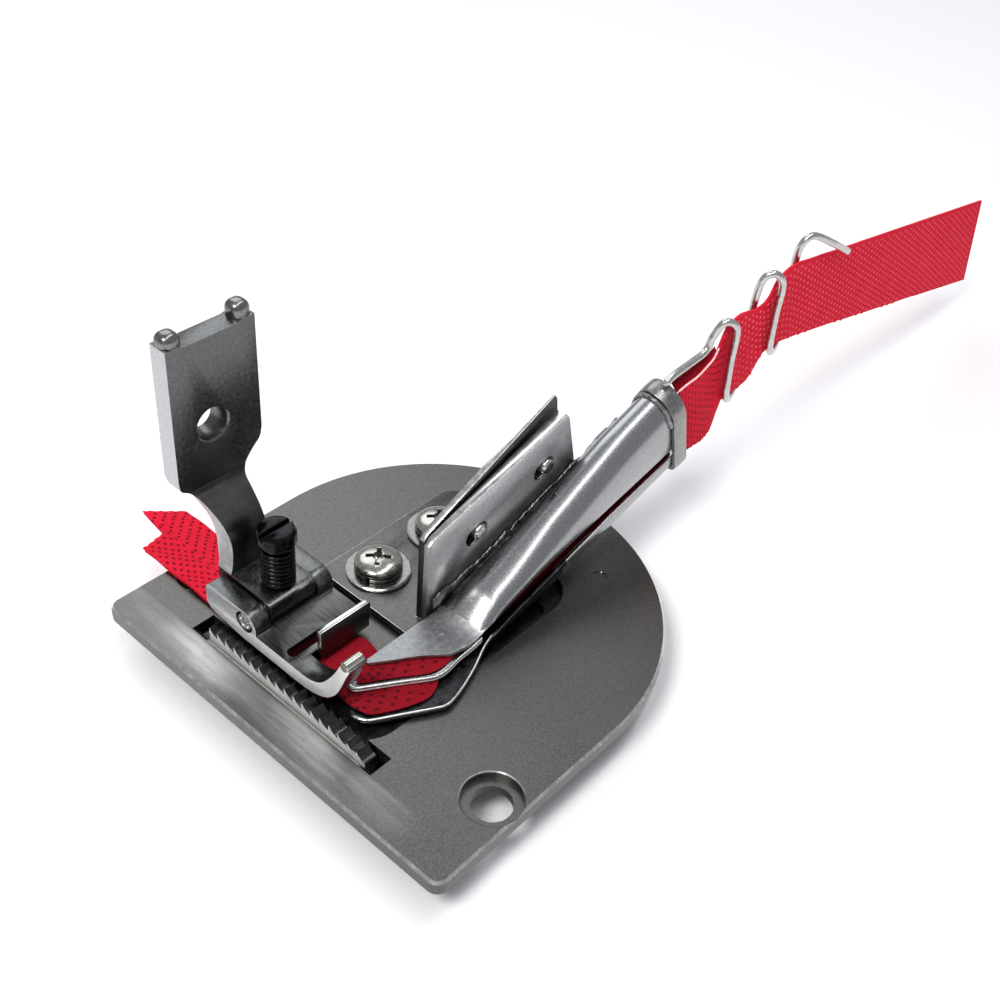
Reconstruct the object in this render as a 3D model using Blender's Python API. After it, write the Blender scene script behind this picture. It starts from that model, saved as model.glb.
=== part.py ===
"""Right-angle tape binder set for an industrial lockstitch machine.

A D-shaped needle plate carries a feed dog, a screwed-on bracket with a rolled tape scroll
and its zigzag wire tape guide, and a hinged presser foot; a folded tape is threaded through.

Frame: origin at the centre of the plate's round end, on the plate's underside.
+X points to the operator's right, +Y is the feed direction, +Z is up. Sizes are in millimetres
and MM turns them into metres.
"""

import math

import bmesh
import bpy
from mathutils import Matrix, Vector

MM = 0.001
GAP = 0.3            # clearance kept between pieces that touch

# Needle plate
PLATE_R = 31.0       # half the plate's width, and the radius of its round end
PLATE_LEFT = -32.5   # straight edge
PLATE_TOP = 2.3
PLATE_BEVEL = 0.35
PLATE_CORNER = 1.6
HOLD_X, HOLD_Y = -19.1, 27.0
HOLD_BORE_R, HOLD_COUNTERBORE_R, HOLD_DEPTH = 2.65, 3.95, 1.1
FEED_SLOT_X = (-26.5, -23.5)
FEED_SLOT_Y = (-14.4, 19.6)
POCKET_Y, POCKET_R, POCKET_END, POCKET_START, POCKET_DEPTH = -6.0, 5.5, 16.0, -20.0, 0.9
PLATE_SLOT_R, PLATE_SLOT_X = 1.6, (-8.0, 9.0)
PLATE_SLOT_Y = -9.0

# Feed dog
DOG_X = (-26.0, -24.0)
DOG_Y = (-12.3, 17.4)
DOG_TEETH, DOG_TIP, DOG_ROOT = 18, 3.3, 2.35
DOG_BASE_Z = (-5.0, -3.2)
DOG_BASE_HALF = 4.2
DOG_SCREW_R = 1.6
DOG_SCREW_Y = (-9.0, 14.0)

# Bracket and its screws
SHEET = 0.9
BASE_Z = PLATE_TOP + GAP
BASE_TOP = BASE_Z + SHEET
BASE_X = (-8.3, 18.6)
BASE_Y = (-1.0, 15.6)
WALL_Y = -1.0        # front face of the upright wall at its near end
WALL_YAW = math.radians(2.4)
SCREW_X = (-2.5, 9.5)
SCREW_Y = 9.8
STACK_GAP = 0.15     # between the head and the washers under it
SCREW_R, SCREW_HEAD_R, SCREW_HEAD_H = 1.5, 3.35, 1.6
WASHER_R, WASHER_T = 4.6, 0.4
LOCK_R, LOCK_T = 3.4, 0.5

# Scroll: inclined sheet-metal tube that folds the tape
INCLINE = math.radians(15.4)
FLANGE_Y = (-2.2, -1.3)
SHELL_T = 0.5
SHELL_BACK = -2.8
FOLD_BACK = 0.45     # share of the depth taken by the rolled back quarter
FRONT_ROLL = 3.6
STUD_X = (4.4, 17.6)
STUD_Z = (14.3, 18.2)
STUD_R = 1.15
SLOT_HALF = 2.7
TONGUE_Z = (4.0, 4.4)
TUBE_END = 39.6
COLLAR_X = (36.6, 39.5)
COLLAR_T = 0.6

# Tape and its wire guide
TAPE_T = 0.45
TAPE_Y = -8.0
WIRE_R = 0.6
WIRE_FRONT = -9.15
WIRE_BACK = -6.85

# Presser foot
SOLE_X = (-24.1, -10.8)
SOLE_Z = (3.6, 5.7)
SOLE_Y = (2.9, 19.9)
RUNNER_RIGHT = -21.1
TOE_TOP = [(0.4, 5.7), (-1.2, 6.2), (-2.7, 7.2), (-4.0, 8.9), (-5.2, 11.0), (-6.2, 13.2)]
TOE_LOW = [(-7.6, 12.7), (-7.0, 11.3), (-5.8, 8.2), (-4.6, 6.3), (-3.3, 5.0), (-1.7, 4.2), (0.5, 3.7), (2.0, 3.6)]
TOE_TIP = (-6.9, 12.9)
TOE_BEAD = 0.95
EAR_T = 2.5
EAR_TOP = 8.7
PIN_Y, PIN_Z, PIN_R = 12.2, 6.8, 1.3
KNUCKLE_R = 2.3
NEEDLE_SLOT_X, NEEDLE_SLOT_Y, NEEDLE_SLOT_R = (-22.4, -17.4), 4.7, 0.8
FIN_X, FIN_Y, FIN_Z = (-20.2, -11.6), (1.8, 2.6), (5.0, 9.6)
HEEL_RELIEF = 0.55
BLOCK_X = (-21.3, -13.6)
BLOCK_Y = (10.2, 20.6)
BLOCK_Z = (6.0, 9.2)
SHANK_X = (-25.0, -11.7)
SHANK_Y = (22.0, 24.9)
SHANK_TOP = 44.6
SHANK_HOLE = (-19.3, 30.8)
SHANK_HOLE_R = 2.6
NECK_X = (-21.1, -15.4)
TENSION_X, TENSION_Y = -17.45, 13.0
TENSION_HEAD_R, TENSION_HEAD_Z = 2.5, (16.2, 18.5)
SPRING_R, SPRING_WIRE, SPRING_TURNS = 2.0, 0.27, 7.5

SATIN = (0.16, 0.165, 0.16)
STEEL = (0.42, 0.43, 0.42)
BRIGHT = (0.72, 0.73, 0.72)
BLACK = (0.012, 0.012, 0.014)
NICKEL = (0.62, 0.62, 0.56)
RED = (0.62, 0.02, 0.045)


def clear_scene():
    for item in list(bpy.data.objects):
        bpy.data.objects.remove(item, do_unlink=True)


def material(name, colour, roughness, metallic):
    made = bpy.data.materials.new(name)
    made.use_nodes = True
    shader = made.node_tree.nodes["Principled BSDF"]
    shader.inputs["Base Color"].default_value = (*colour, 1.0)
    shader.inputs["Roughness"].default_value = roughness
    shader.inputs["Metallic"].default_value = metallic
    return made


def place(name, mesh_bm, look, origin=(0.0, 0.0, 0.0), smooth=False):
    """Turn a millimetre bmesh into a metre-sized object whose origin is at `origin`."""
    bmesh.ops.recalc_face_normals(mesh_bm, faces=mesh_bm.faces)
    shift = Matrix.Translation(-Vector(origin))
    bmesh.ops.transform(mesh_bm, matrix=Matrix.Scale(MM, 4) @ shift, verts=mesh_bm.verts)
    mesh = bpy.data.meshes.new(name)
    mesh_bm.to_mesh(mesh)
    mesh_bm.free()
    made = bpy.data.objects.new(name, mesh)
    made.location = Vector(origin) * MM
    bpy.context.collection.objects.link(made)
    if look is not None:
        mesh.materials.append(material(name + "_finish", *look))
    if smooth:
        mesh.shade_smooth()
        mesh.set_sharp_from_angle(angle=math.radians(35))
    return made


def cutter(name, mesh_bm):
    made = place(name, mesh_bm, None)
    made.hide_render = True
    made.display_type = "WIRE"
    return made


def boolean(target, tool, operation="DIFFERENCE"):
    step = target.modifiers.new(operation.title(), "BOOLEAN")
    step.operation = operation
    step.solver = "EXACT"
    step.object = tool


def arc(cx, cy, radius, start, end, steps):
    """Points on a circle from angle `start` to `end` in degrees."""
    angles = [math.radians(start + (end - start) * i / steps) for i in range(steps + 1)]
    return [(cx + radius * math.cos(a), cy + radius * math.sin(a)) for a in angles]


def obround(x0, x1, y, radius, steps=8):
    """Slot outline along X with round ends whose centres are at x0 and x1."""
    return arc(x1, y, radius, -90, 90, steps) + arc(x0, y, radius, 90, 270, steps)


def prism(outline, low, high, axis="Z"):
    """Extrude a plane outline between two levels of the given axis."""
    turns = {"Z": lambda a, b, c: (a, b, c), "Y": lambda a, b, c: (a, c, b), "X": lambda a, b, c: (c, a, b)}
    turn = turns[axis]
    made = bmesh.new()
    rings = [[made.verts.new(turn(a, b, level)) for a, b in outline] for level in (low, high)]
    made.faces.new(rings[0])
    made.faces.new(rings[1])
    count = len(outline)
    for i in range(count):
        made.faces.new((rings[0][i], rings[0][(i + 1) % count], rings[1][(i + 1) % count], rings[1][i]))
    return made


def stack(rings, closed=True):
    """Skin equal-length rings: capped when closed, joined end to start when closed is "loop"."""
    made = bmesh.new()
    verts = [[made.verts.new(p) for p in ring] for ring in rings]
    count = len(rings[0])
    if closed == "loop":
        verts.append(verts[0])
    for lower, upper in zip(verts, verts[1:]):
        for i in range(count if closed else count - 1):
            j = (i + 1) % count
            made.faces.new((lower[i], lower[j], upper[j], upper[i]))
    if closed is True:
        made.faces.new(verts[0])
        made.faces.new(verts[-1])
    return made


def lathe(profile, centre, steps=28, axis="Z"):
    """Turn a profile of (radius, height) points about an axis; radius 0 ends are poles."""
    made = bmesh.new()
    frame = {"Z": Matrix.Identity(3), "Y": Matrix.Rotation(math.radians(-90), 3, "X"),
             "X": Matrix.Rotation(math.radians(90), 3, "Y")}[axis]
    rings = []
    for radius, height in profile:
        turns = 1 if radius == 0 else steps
        ring = []
        for i in range(turns):
            angle = math.tau * i / steps
            local = Vector((radius * math.cos(angle), radius * math.sin(angle), height))
            ring.append(made.verts.new(Vector(centre) + frame @ local))
        rings.append(ring)
    for lower, upper in zip(rings, rings[1:]):
        for i in range(steps):
            j = (i + 1) % steps
            corners = [lower[i % len(lower)], lower[j % len(lower)], upper[j % len(upper)], upper[i % len(upper)]]
            unique = list(dict.fromkeys(corners))
            if len(unique) > 2:
                made.faces.new(unique)
    return made


def ring_solid(inner, outer, low, high, centre, steps=28):
    """Flat ring, such as a washer."""
    cx, cy, _ = centre
    profile = ((inner, low), (outer, low), (outer, high), (inner, high))
    last = 360 - 360 / steps
    rings = [[(x, y, z) for x, y in arc(cx, cy, r, 0, last, steps - 1)] for r, z in profile]
    return stack(rings, "loop")


def lookup(table, x):
    """Straight-line value between the rows (x, value) of a short table."""
    if x <= table[0][0]:
        return table[0][1]
    for (x0, v0), (x1, v1) in zip(table, table[1:]):
        if x <= x1:
            share = (x - x0) / (x1 - x0)
            return v0 + (v1 - v0) * share
    return table[-1][1]


def smooth_path(points, per_span):
    """Points read from a Catmull-Rom curve through the given route."""
    route = [Vector(p) for p in points]
    route = [route[0] * 2 - route[1]] + route + [route[-1] * 2 - route[-2]]
    made = []
    for a, b, c, d in zip(route, route[1:], route[2:], route[3:]):
        for i in range(per_span):
            t = i / per_span
            made.append(0.5 * (2 * b + (c - a) * t + (2 * a - 5 * b + 4 * c - d) * t ** 2
                               + (3 * b - a - 3 * c + d) * t ** 3))
    made.append(route[-2])
    return made


# ---------------------------------------------------------------- needle plate

def plate_outline(inset):
    """D outline: a straight left edge with small corners and a half-round right end."""
    radius = PLATE_R - inset
    left = PLATE_LEFT + inset
    corner = max(PLATE_CORNER - inset, 0.3)
    points = arc(0, 0, radius, -90, 90, 48)
    points += arc(left + corner, radius - corner, corner, 90, 180, 4)
    points += arc(left + corner, -radius + corner, corner, 180, 270, 4)
    return points


def needle_plate():
    levels = ((0.0, PLATE_BEVEL * 0.6), (PLATE_BEVEL * 0.6, 0.0), (PLATE_TOP - PLATE_BEVEL, 0.0),
              (PLATE_TOP, PLATE_BEVEL))
    rings = [[(x, y, z) for x, y in plate_outline(inset)] for z, inset in levels]
    plate = place("needle_plate", stack(rings), (SATIN, 0.42, 1.0), smooth=False)
    over = PLATE_TOP + 1.0
    for side in (-1, 1):
        centre = (HOLD_X, side * HOLD_Y, 0)
        profile = [(0, -1), (HOLD_BORE_R, -1), (HOLD_BORE_R, PLATE_TOP - HOLD_DEPTH),
                   (HOLD_COUNTERBORE_R, PLATE_TOP - HOLD_DEPTH), (HOLD_COUNTERBORE_R, over), (0, over)]
        boolean(plate, cutter(f"cut_hold_{side}", lathe(profile, centre, 32)))
    x_mid = sum(FEED_SLOT_X) / 2
    slot_r = (FEED_SLOT_X[1] - FEED_SLOT_X[0]) / 2
    slot = [(x_mid - slot_r, FEED_SLOT_Y[0]), (x_mid + slot_r, FEED_SLOT_Y[0]),
            (x_mid + slot_r, FEED_SLOT_Y[1]), (x_mid - slot_r, FEED_SLOT_Y[1])]
    boolean(plate, cutter("cut_feed_slot", prism(slot, -1, over)))
    pocket = obround(POCKET_START, POCKET_END - POCKET_R, POCKET_Y, POCKET_R)
    boolean(plate, cutter("cut_pocket", prism(pocket, PLATE_TOP - POCKET_DEPTH, over)))
    window = obround(*PLATE_SLOT_X, PLATE_SLOT_Y, PLATE_SLOT_R)
    boolean(plate, cutter("cut_window", prism(window, -1, over)))
    for x in SCREW_X:
        hole = lathe([(0, -1), (SCREW_R + GAP, -1), (SCREW_R + GAP, over), (0, over)], (x, SCREW_Y, 0), 20)
        boolean(plate, cutter(f"cut_thread_{x:.0f}", hole))
    needle = lathe([(0, -1), (0.9, -1), (0.9, over), (0, over)], (NEEDLE_SLOT_X[1] - 1.5, NEEDLE_SLOT_Y, 0), 16)
    boolean(plate, cutter("cut_needle_hole", needle))
    return plate


# ------------------------------------------------------------------- feed dog

def feed_dog():
    """One row of saw teeth on a bar that stands on a screwed base."""
    y0, y1 = DOG_Y
    pitch = (y1 - y0) / DOG_TEETH
    side = [(y0, DOG_BASE_Z[0]), (y0, PLATE_TOP - 1.2)]
    for i in range(DOG_TEETH):
        base = y0 + i * pitch
        rise = min(1.0, (i + 1) / 3)
        tip = DOG_ROOT + (DOG_TIP - DOG_ROOT) * rise
        side += [(base + 0.12 * pitch, DOG_ROOT - (1.0 - rise)), (base + 0.92 * pitch, tip)]
    side += [(y1, DOG_ROOT), (y1, DOG_BASE_Z[0])]
    bar = place("feed_dog", prism(side, DOG_X[0], DOG_X[1], "X"), (BRIGHT, 0.3, 1.0),
                origin=(sum(DOG_X) / 2, sum(DOG_Y) / 2, 0))
    x_mid = sum(DOG_X) / 2
    foot = [(x_mid - DOG_BASE_HALF, y0 - 1.5), (x_mid + DOG_BASE_HALF, y0 - 1.5),
            (x_mid + DOG_BASE_HALF, y1 + 1.5), (x_mid - DOG_BASE_HALF, y1 + 1.5)]
    boolean(bar, cutter("feed_base", prism(foot, DOG_BASE_Z[0] - 0.01, DOG_BASE_Z[1])), "UNION")
    for y in DOG_SCREW_Y:
        for sign in (-1, 1):
            hole = lathe([(0, -7), (DOG_SCREW_R, -7), (DOG_SCREW_R, -2), (0, -2)], (x_mid + sign * 2.5, y, 0), 16)
            boolean(bar, cutter(f"cut_dog_{y:.0f}_{sign}", hole))
    return bar


# ---------------------------------------------------- bracket and its fasteners

def wall_turn():
    """The upright wall swings back a little from its near end."""
    pivot = Vector((-5.0, WALL_Y, 0))
    return Matrix.Translation(pivot) @ Matrix.Rotation(WALL_YAW, 4, "Z") @ Matrix.Translation(-pivot)


def bracket():
    corner = 3.0
    x0, x1 = BASE_X
    y0, y1 = BASE_Y
    outline = [(x0, y0 - 0.6), (x1, y0 - 0.6)] + arc(x1 - corner, y1 - corner, corner, 0, 90, 6)
    outline += [(x0, y1)]
    base = place("bracket", prism(outline, BASE_Z, BASE_TOP), (STEEL, 0.45, 1.0))
    wall_outline = [(-5.0, BASE_Z + 0.05), (18.0, BASE_Z + 0.05), (23.6, 13.8), (20.8, 27.4), (-4.4, 18.2),
                    (-5.0, 17.4)]
    wall = prism(wall_outline, WALL_Y, WALL_Y + SHEET, "Y")
    bmesh.ops.transform(wall, matrix=wall_turn(), verts=wall.verts)
    boolean(base, cutter("bracket_wall", wall), "UNION")
    for x in SCREW_X:
        hole = lathe([(0, 1), (SCREW_R + GAP, 1), (SCREW_R + GAP, 5), (0, 5)], (x, SCREW_Y, 0), 20)
        boolean(base, cutter(f"cut_base_{x:.0f}", hole))
    for i, (x, z) in enumerate(zip(STUD_X, STUD_Z)):
        hole = lathe([(0, -4), (STUD_R + GAP, -4), (STUD_R + GAP, 5), (0, 5)], (x, 0, z), 16, "Y")
        boolean(base, cutter(f"cut_wall_{i}", hole))
    return base


def bracket_screws():
    """Pan-head cross-recess screws with a flat and a spring washer under each head."""
    for i, x in enumerate(SCREW_X, 1):
        flat_z = BASE_TOP + STACK_GAP
        lock_z = flat_z + WASHER_T + STACK_GAP
        head_z = lock_z + LOCK_T + STACK_GAP
        centre = (x, SCREW_Y, 0)
        place(f"flat_washer_{i}", ring_solid(SCREW_R + GAP, WASHER_R, flat_z, flat_z + WASHER_T, centre),
              (BRIGHT, 0.25, 1.0), smooth=True)
        place(f"lock_washer_{i}", ring_solid(SCREW_R + GAP, LOCK_R, lock_z, lock_z + LOCK_T, centre),
              (STEEL, 0.35, 1.0), smooth=True)
        dome = [(SCREW_HEAD_R * math.cos(a), head_z + 0.55 + (SCREW_HEAD_H - 0.55) * math.sin(a))
                for a in [math.radians(d) for d in (0, 20, 42, 65)]]
        profile = [(0, -0.6), (SCREW_R - 0.4, -0.6), (SCREW_R, -0.2), (SCREW_R, head_z), (SCREW_HEAD_R, head_z)]
        profile += dome + [(0, head_z + SCREW_HEAD_H)]
        screw = place(f"bracket_screw_{i}", lathe(profile, centre, 28), (NICKEL, 0.25, 1.0), smooth=True)
        for k, (half_x, half_y) in enumerate(((1.7, 0.42), (0.42, 1.7))):
            arm = [(x - half_x, SCREW_Y - half_y), (x + half_x, SCREW_Y - half_y),
                   (x + half_x, SCREW_Y + half_y), (x - half_x, SCREW_Y + half_y)]
            boolean(screw, cutter(f"cut_cross_{i}_{k}", prism(arm, head_z + 0.7, head_z + 3)))


# --------------------------------------------------------------------- scroll

def scroll_flange():
    """Front sheet that carries the rolled tube; its oval slots ride on the studs."""
    outline = [(-5.3, 4.0), (3.0, 4.0), (24.6, 13.4), (21.4, 25.2), (-5.3, 17.9)]
    flange = place("scroll_flange", prism(outline, *FLANGE_Y, "Y"), (STEEL, 0.4, 1.0))
    for i, (x, z) in enumerate(zip(STUD_X, STUD_Z)):
        hole = prism(obround(-SLOT_HALF + 1.5, SLOT_HALF - 1.5, 0, STUD_R + GAP), -4, 1, "Y")
        turn = Matrix.Translation((x, 0, z)) @ Matrix.Rotation(-INCLINE, 4, "Y")
        bmesh.ops.transform(hole, matrix=turn, verts=hole.verts)
        boolean(flange, cutter(f"cut_oval_{i}", hole))
    return flange


def flange_studs():
    """Round-head studs from behind the wall, ending just proud of the oval slots."""
    for i, (x, z) in enumerate(zip(STUD_X, STUD_Z), 1):
        back = WALL_Y + SHEET + (x + 5.0) * math.tan(WALL_YAW) + 2 * GAP
        profile = [(0, -2.7), (STUD_R - 0.25, -2.7), (STUD_R, -2.4), (STUD_R, back), (2.4, back), (2.4, back + 0.7),
                   (1.5, back + 1.3), (0, back + 1.3)]
        place(f"flange_stud_{i}", lathe(profile, (x, 0, z), 20, "Y"), (BRIGHT, 0.3, 1.0), smooth=True)


MOUTH_Z = 5.55
CREST = [(-6.0, 6.9), (-4.0, 7.7), (3.7, 10.2), (15.4, 15.0), (27.6, 20.2), (TUBE_END, 24.0)]
RIM = [(-5.6, 5.2), (-3.0, 6.1), (9.1, 9.5), (22.0, 11.8), (TUBE_END, 14.8)]
BACK = [(-5.6, 5.6), (3.7, 7.4), (15.4, 10.5), (27.6, 14.5), (TUBE_END, 17.5)]
FRONT = [(-17.2, -3.2), (-14.6, -5.0), (-11.4, -7.0), (-8.4, -9.5), (-5.6, -10.2), (3.0, -9.8), (TUBE_END, -9.0)]
FLOOR = [(-23.0, 2.85), (2.0, 2.85), (9.0, 4.0), (17.0, 5.9), (26.0, 8.0), (TUBE_END, 10.9)]
LIP = [(-6.0, 3.5), (-1.7, 3.9), (9.0, 6.6), (22.0, 10.1), (TUBE_END, 13.4)]
LOWER_FRONT = [(-22.9, -7.4), (-22.0, -8.5), (-13.6, -13.5), (-12.2, -13.6), (-9.6, -13.0), (-1.7, -10.2),
               (3.0, -9.9), (TUBE_END, -9.0)]
LOWER_BACK = [(-23.0, -6.1), (-17.0, -2.8), (2.0, SHELL_BACK), (TUBE_END, SHELL_BACK)]


def lean(x):
    """Sections lean square to the inclined tube away from the mouth."""
    return math.tan(INCLINE) * min(max(x / 20.0, 0.0), 1.0)


def rolled(x, flat, shaped):
    """Blend a flat mouth section into the rolled one between x = -6 and x = 1."""
    share = min(max((x + 6.0) / 7.0, 0.0), 1.0)
    slope, centre = lean(x), (lookup(CREST, x) + lookup(RIM, x)) / 2
    made = []
    for (y0, z0), (y1, z1) in zip(flat, shaped):
        y, z = y0 + (y1 - y0) * share, z0 + (z1 - z0) * share
        made.append((x - slope * (z - centre), y, z))
    return made


def hat(x, grow=0.0):
    """Rolled back, crest and rolled front of the tube, as (y, z) points from back to front."""
    crest = lookup(CREST, x) + grow
    back, front = SHELL_BACK + grow, lookup(FRONT, x) - grow
    back_z = min(lookup(BACK, x), crest - 0.05)
    middle = back + (front - back) * FOLD_BACK
    roll = min(max(crest - grow - lookup(RIM, x), 0.05) * 0.9, FRONT_ROLL) + grow
    points = []
    for i in range(6):
        angle = math.radians(90 * i / 5)
        points.append((middle + (back - middle) * math.cos(angle), back_z + (crest - back_z) * math.sin(angle)))
    for i in range(1, 7):
        angle = math.radians(90 * i / 6)
        points.append((middle + (front - middle) * math.sin(angle), crest - roll * (1 - math.cos(angle))))
    return points


def upper_section(x):
    """Upper shell: flat lip at the mouth, then a hat with a straight skirt down to the rim."""
    shaped = hat(x)
    front, low = shaped[-1]
    shaped.append((front, min(lookup(RIM, x), low - 0.1)))
    depth = lookup(FRONT, x) - SHELL_BACK
    count = len(shaped) - 1
    flat = [(SHELL_BACK + depth * i / count, MOUTH_Z) for i in range(count + 1)]
    return rolled(x, flat, shaped)


def lower_section(x):
    """Lower shell: flat floor at the mouth, then a gutter with a front wall up to the lip."""
    floor, lip = lookup(FLOOR, x), lookup(LIP, x)
    back, front = lookup(LOWER_BACK, x), lookup(LOWER_FRONT, x)
    reach = 1.2
    shaped = [(back, floor), ((back + front + reach) / 2, floor), (front + reach, floor)]
    for i in range(1, 5):
        angle = math.radians(90 * i / 4)
        shaped.append((front + reach * (1 - math.sin(angle)), floor + min(reach, (lip - floor) * 0.6)
                       * (1 - math.cos(angle))))
    shaped.append((front, lip))
    count = len(shaped) - 1
    flat = [(back + (front - back) * i / count, floor) for i in range(count + 1)]
    return rolled(x, flat, shaped)


def thicken(target, thickness):
    step = target.modifiers.new("Sheet", "SOLIDIFY")
    step.thickness = thickness * MM
    step.offset = 0.0
    step.use_even_offset = True
    step.use_rim = True


def stations(start, end, count):
    return [start + (end - start) * i / count for i in range(count + 1)]


def scroll_upper_shell():
    """Polished upper shell: a pointed flat lip at the mouth that rolls up into a tube."""
    places = [-17.0, -14.6, -11.4, -8.4, -6.0, -4.2, -2.4, -0.6] + stations(1.2, TUBE_END, 13)
    shell = place("scroll_upper_shell", stack([upper_section(x) for x in places], closed=False),
                  (BRIGHT, 0.22, 1.0), smooth=True)
    thicken(shell, SHELL_T)
    return shell


def scroll_lower_shell():
    """Floor sheet with a curved lip at the mouth; its front wall follows the tube."""
    places = [-22.9, -22.0, -17.6, -13.6, -12.2, -9.6, -6.0, -3.6, -1.2] + stations(1.2, TUBE_END, 12)
    shell = place("scroll_lower_shell", stack([lower_section(x) for x in places], closed=False),
                  (BRIGHT, 0.25, 1.0), smooth=True)
    thicken(shell, SHELL_T)
    return shell


def scroll_tongue():
    """Thin folding tongue between the two tape leaves."""
    outline = [(-20.3, -3.5), (-20.2, -4.4), (-11.5, -10.1), (-10.0, -10.3), (-7.5, -9.9), (-3.0, -9.2),
               (-1.4, -7.0), (-1.4, -4.4), (-3.0, -3.1), (-16.5, -2.9)]
    return place("scroll_tongue", prism(outline, *TONGUE_Z), (BRIGHT, 0.25, 1.0))


def collar_section(x, grow):
    """Closed ring just outside the tube: its hat, a front wall, rounded corners and a floor."""
    points = hat(x, grow)
    front, back, floor = points[-1][0], points[0][0], lookup(FLOOR, x) - grow
    points += [(front, floor + 1.3), (front + 0.4, floor + 0.4), (front + 1.3, floor), (back - 0.6, floor),
               (back - 0.15, floor + 0.15), (back, floor + 0.6)]
    slope, centre = lean(x), (lookup(CREST, x) + lookup(RIM, x)) / 2
    return [(x - slope * (z - centre), y, z) for y, z in points]


def tube_collar():
    """Band around the tube's entry end."""
    inner = SHELL_T / 2 + GAP
    outer = inner + COLLAR_T
    x0, x1 = COLLAR_X
    rings = [collar_section(x, grow) for x, grow in ((x0, inner), (x0, outer), (x1, outer), (x1, inner))]
    return place("tube_collar", stack(rings, closed="loop"), (STEEL, 0.5, 1.0), smooth=True)


# ----------------------------------------------------------- tape and its guide

WIRE_ROUTE = [(38.3, -6.9, 25.9), (42.5, -6.9, 26.0), (46.2, -6.9, 26.4), (47.3, -7.1, 28.7), (48.3, -8.0, 31.0),
              (49.9, WIRE_FRONT, 29.8), (50.2, WIRE_FRONT, 24.0), (50.8, WIRE_FRONT, 18.4), (53.2, -8.4, 15.5),
              (57.4, WIRE_BACK, 15.6), (57.6, WIRE_BACK, 22.0), (58.3, WIRE_BACK, 32.2), (59.4, -8.0, 34.6),
              (60.9, WIRE_FRONT, 33.0), (61.0, WIRE_FRONT, 27.6), (61.4, WIRE_FRONT, 22.2), (64.0, -8.4, 19.3),
              (68.2, WIRE_BACK, 19.6), (68.2, WIRE_BACK, 26.0), (68.0, WIRE_BACK, 32.6), (67.9, -7.3, 36.0),
              (69.6, -8.1, 37.2), (74.6, WIRE_FRONT, 34.6), (80.4, WIRE_FRONT, 31.1)]
TAPE_LOW = [(44.0, 10.6), (46.4, 11.4), (49.6, 15.6), (52.0, 17.6), (58.0, 18.0), (61.4, 20.6),
            (66.0, 20.4), (72.0, 18.6), (99.3, 11.7), (143.0, 1.1)]
TAPE_HIGH = [(40.6, 21.6), (44.0, 23.4), (49.6, 28.4), (54.0, 30.4), (60.4, 32.6), (67.3, 33.6), (82.4, 30.7),
             (108.0, 25.7), (140.0, 19.8)]


def sweep(path, radius, sides=8):
    """Closed round tube along a path, carried without twist."""
    rings = []
    side = None
    for i, at in enumerate(path):
        ahead = (path[min(i + 1, len(path) - 1)] - path[max(i - 1, 0)]).normalized()
        side = ahead.orthogonal() if side is None else side - ahead * side.dot(ahead)
        side.normalize()
        up = ahead.cross(side)
        turns = [math.tau * k / sides for k in range(sides)]
        rings.append([at + (side * math.cos(a) + up * math.sin(a)) * radius for a in turns])
    return stack(rings)


def tape_guide_wire():
    """Round wire bent into two loops and a hook that lead the tape to the tube."""
    return place("tape_guide_wire", sweep(smooth_path(WIRE_ROUTE, 4), WIRE_R), (BRIGHT, 0.2, 1.0), smooth=True)


def ribbon(name, rows, y):
    """Upright band of tape between matching points (x, z) of its lower and upper edges."""
    rings = []
    for (x0, z0), (x1, z1) in rows:
        near, far = y - TAPE_T / 2, y + TAPE_T / 2
        rings.append([(x0, near, z0), (x0, far, z0), (x1, far, z1), (x1, near, z1)])
    return place(name, stack(rings), (RED, 0.85, 0.0))


def tape_supply():
    """Tape from its cut end through the wire loops to the collar, standing on edge."""
    places = stations(0.0, 1.0, 24)
    low = [44.2 + (142.0 - 44.2) * t ** 1.4 for t in places]
    high = [41.4 + (137.0 - 41.4) * t ** 1.4 for t in places]
    rows = [((a, lookup(TAPE_LOW, a)), (b, lookup(TAPE_HIGH, b))) for a, b in zip(low, high)]
    return ribbon("tape_supply", rows, TAPE_Y)


def tape_in_tube():
    """Stretch of tape that shows through the slot between the shells."""
    rows = []
    for x in stations(0.2, 41.2, 8):
        slope = lean(x)
        z0, z1 = lookup(FLOOR, x) + 0.75, lookup(RIM, x) + 0.3 + 0.08 * x
        rows.append(((x - slope * (z0 - z1) / 2, z0), (x + slope * (z0 - z1) / 2, z1)))
    return ribbon("tape_in_tube", rows, TAPE_Y)


def tape_leaves():
    """The two halves of the folded tape at the mouth, above and below the tongue."""
    upper = [(-19.6, -3.6), (-19.4, -4.4), (-11.4, -9.6), (-9.8, -9.7), (-7.4, -9.3), (-1.2, -8.2), (-1.2, -3.4),
             (-16.2, -3.2)]
    lower = [(-21.6, -6.9), (-21.2, -8.2), (-13.4, -12.7), (-9.8, -12.2), (-1.4, -9.0), (-1.4, -3.4), (-16.6, -3.2)]
    high = TONGUE_Z[1] + 0.3
    low = TONGUE_Z[0] - 0.3
    place("tape_upper_leaf", prism(upper, high, high + 0.2), (RED, 0.85, 0.0))
    place("tape_lower_leaf", prism(lower, low - 0.25, low), (RED, 0.85, 0.0))


def tape_tail():
    """Folded tape under the sole, ending behind the heel in a swallow tail."""
    outline = [(-22.8, -2.2), (-13.6, -2.2), (-13.6, 38.6), (-18.0, 42.4), (-18.6, 36.4), (-22.8, 36.0)]
    return place("tape_tail", prism(outline, PLATE_TOP + GAP, PLATE_TOP + GAP + 0.6), (RED, 0.85, 0.0))


# --------------------------------------------------------------- presser foot

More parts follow.
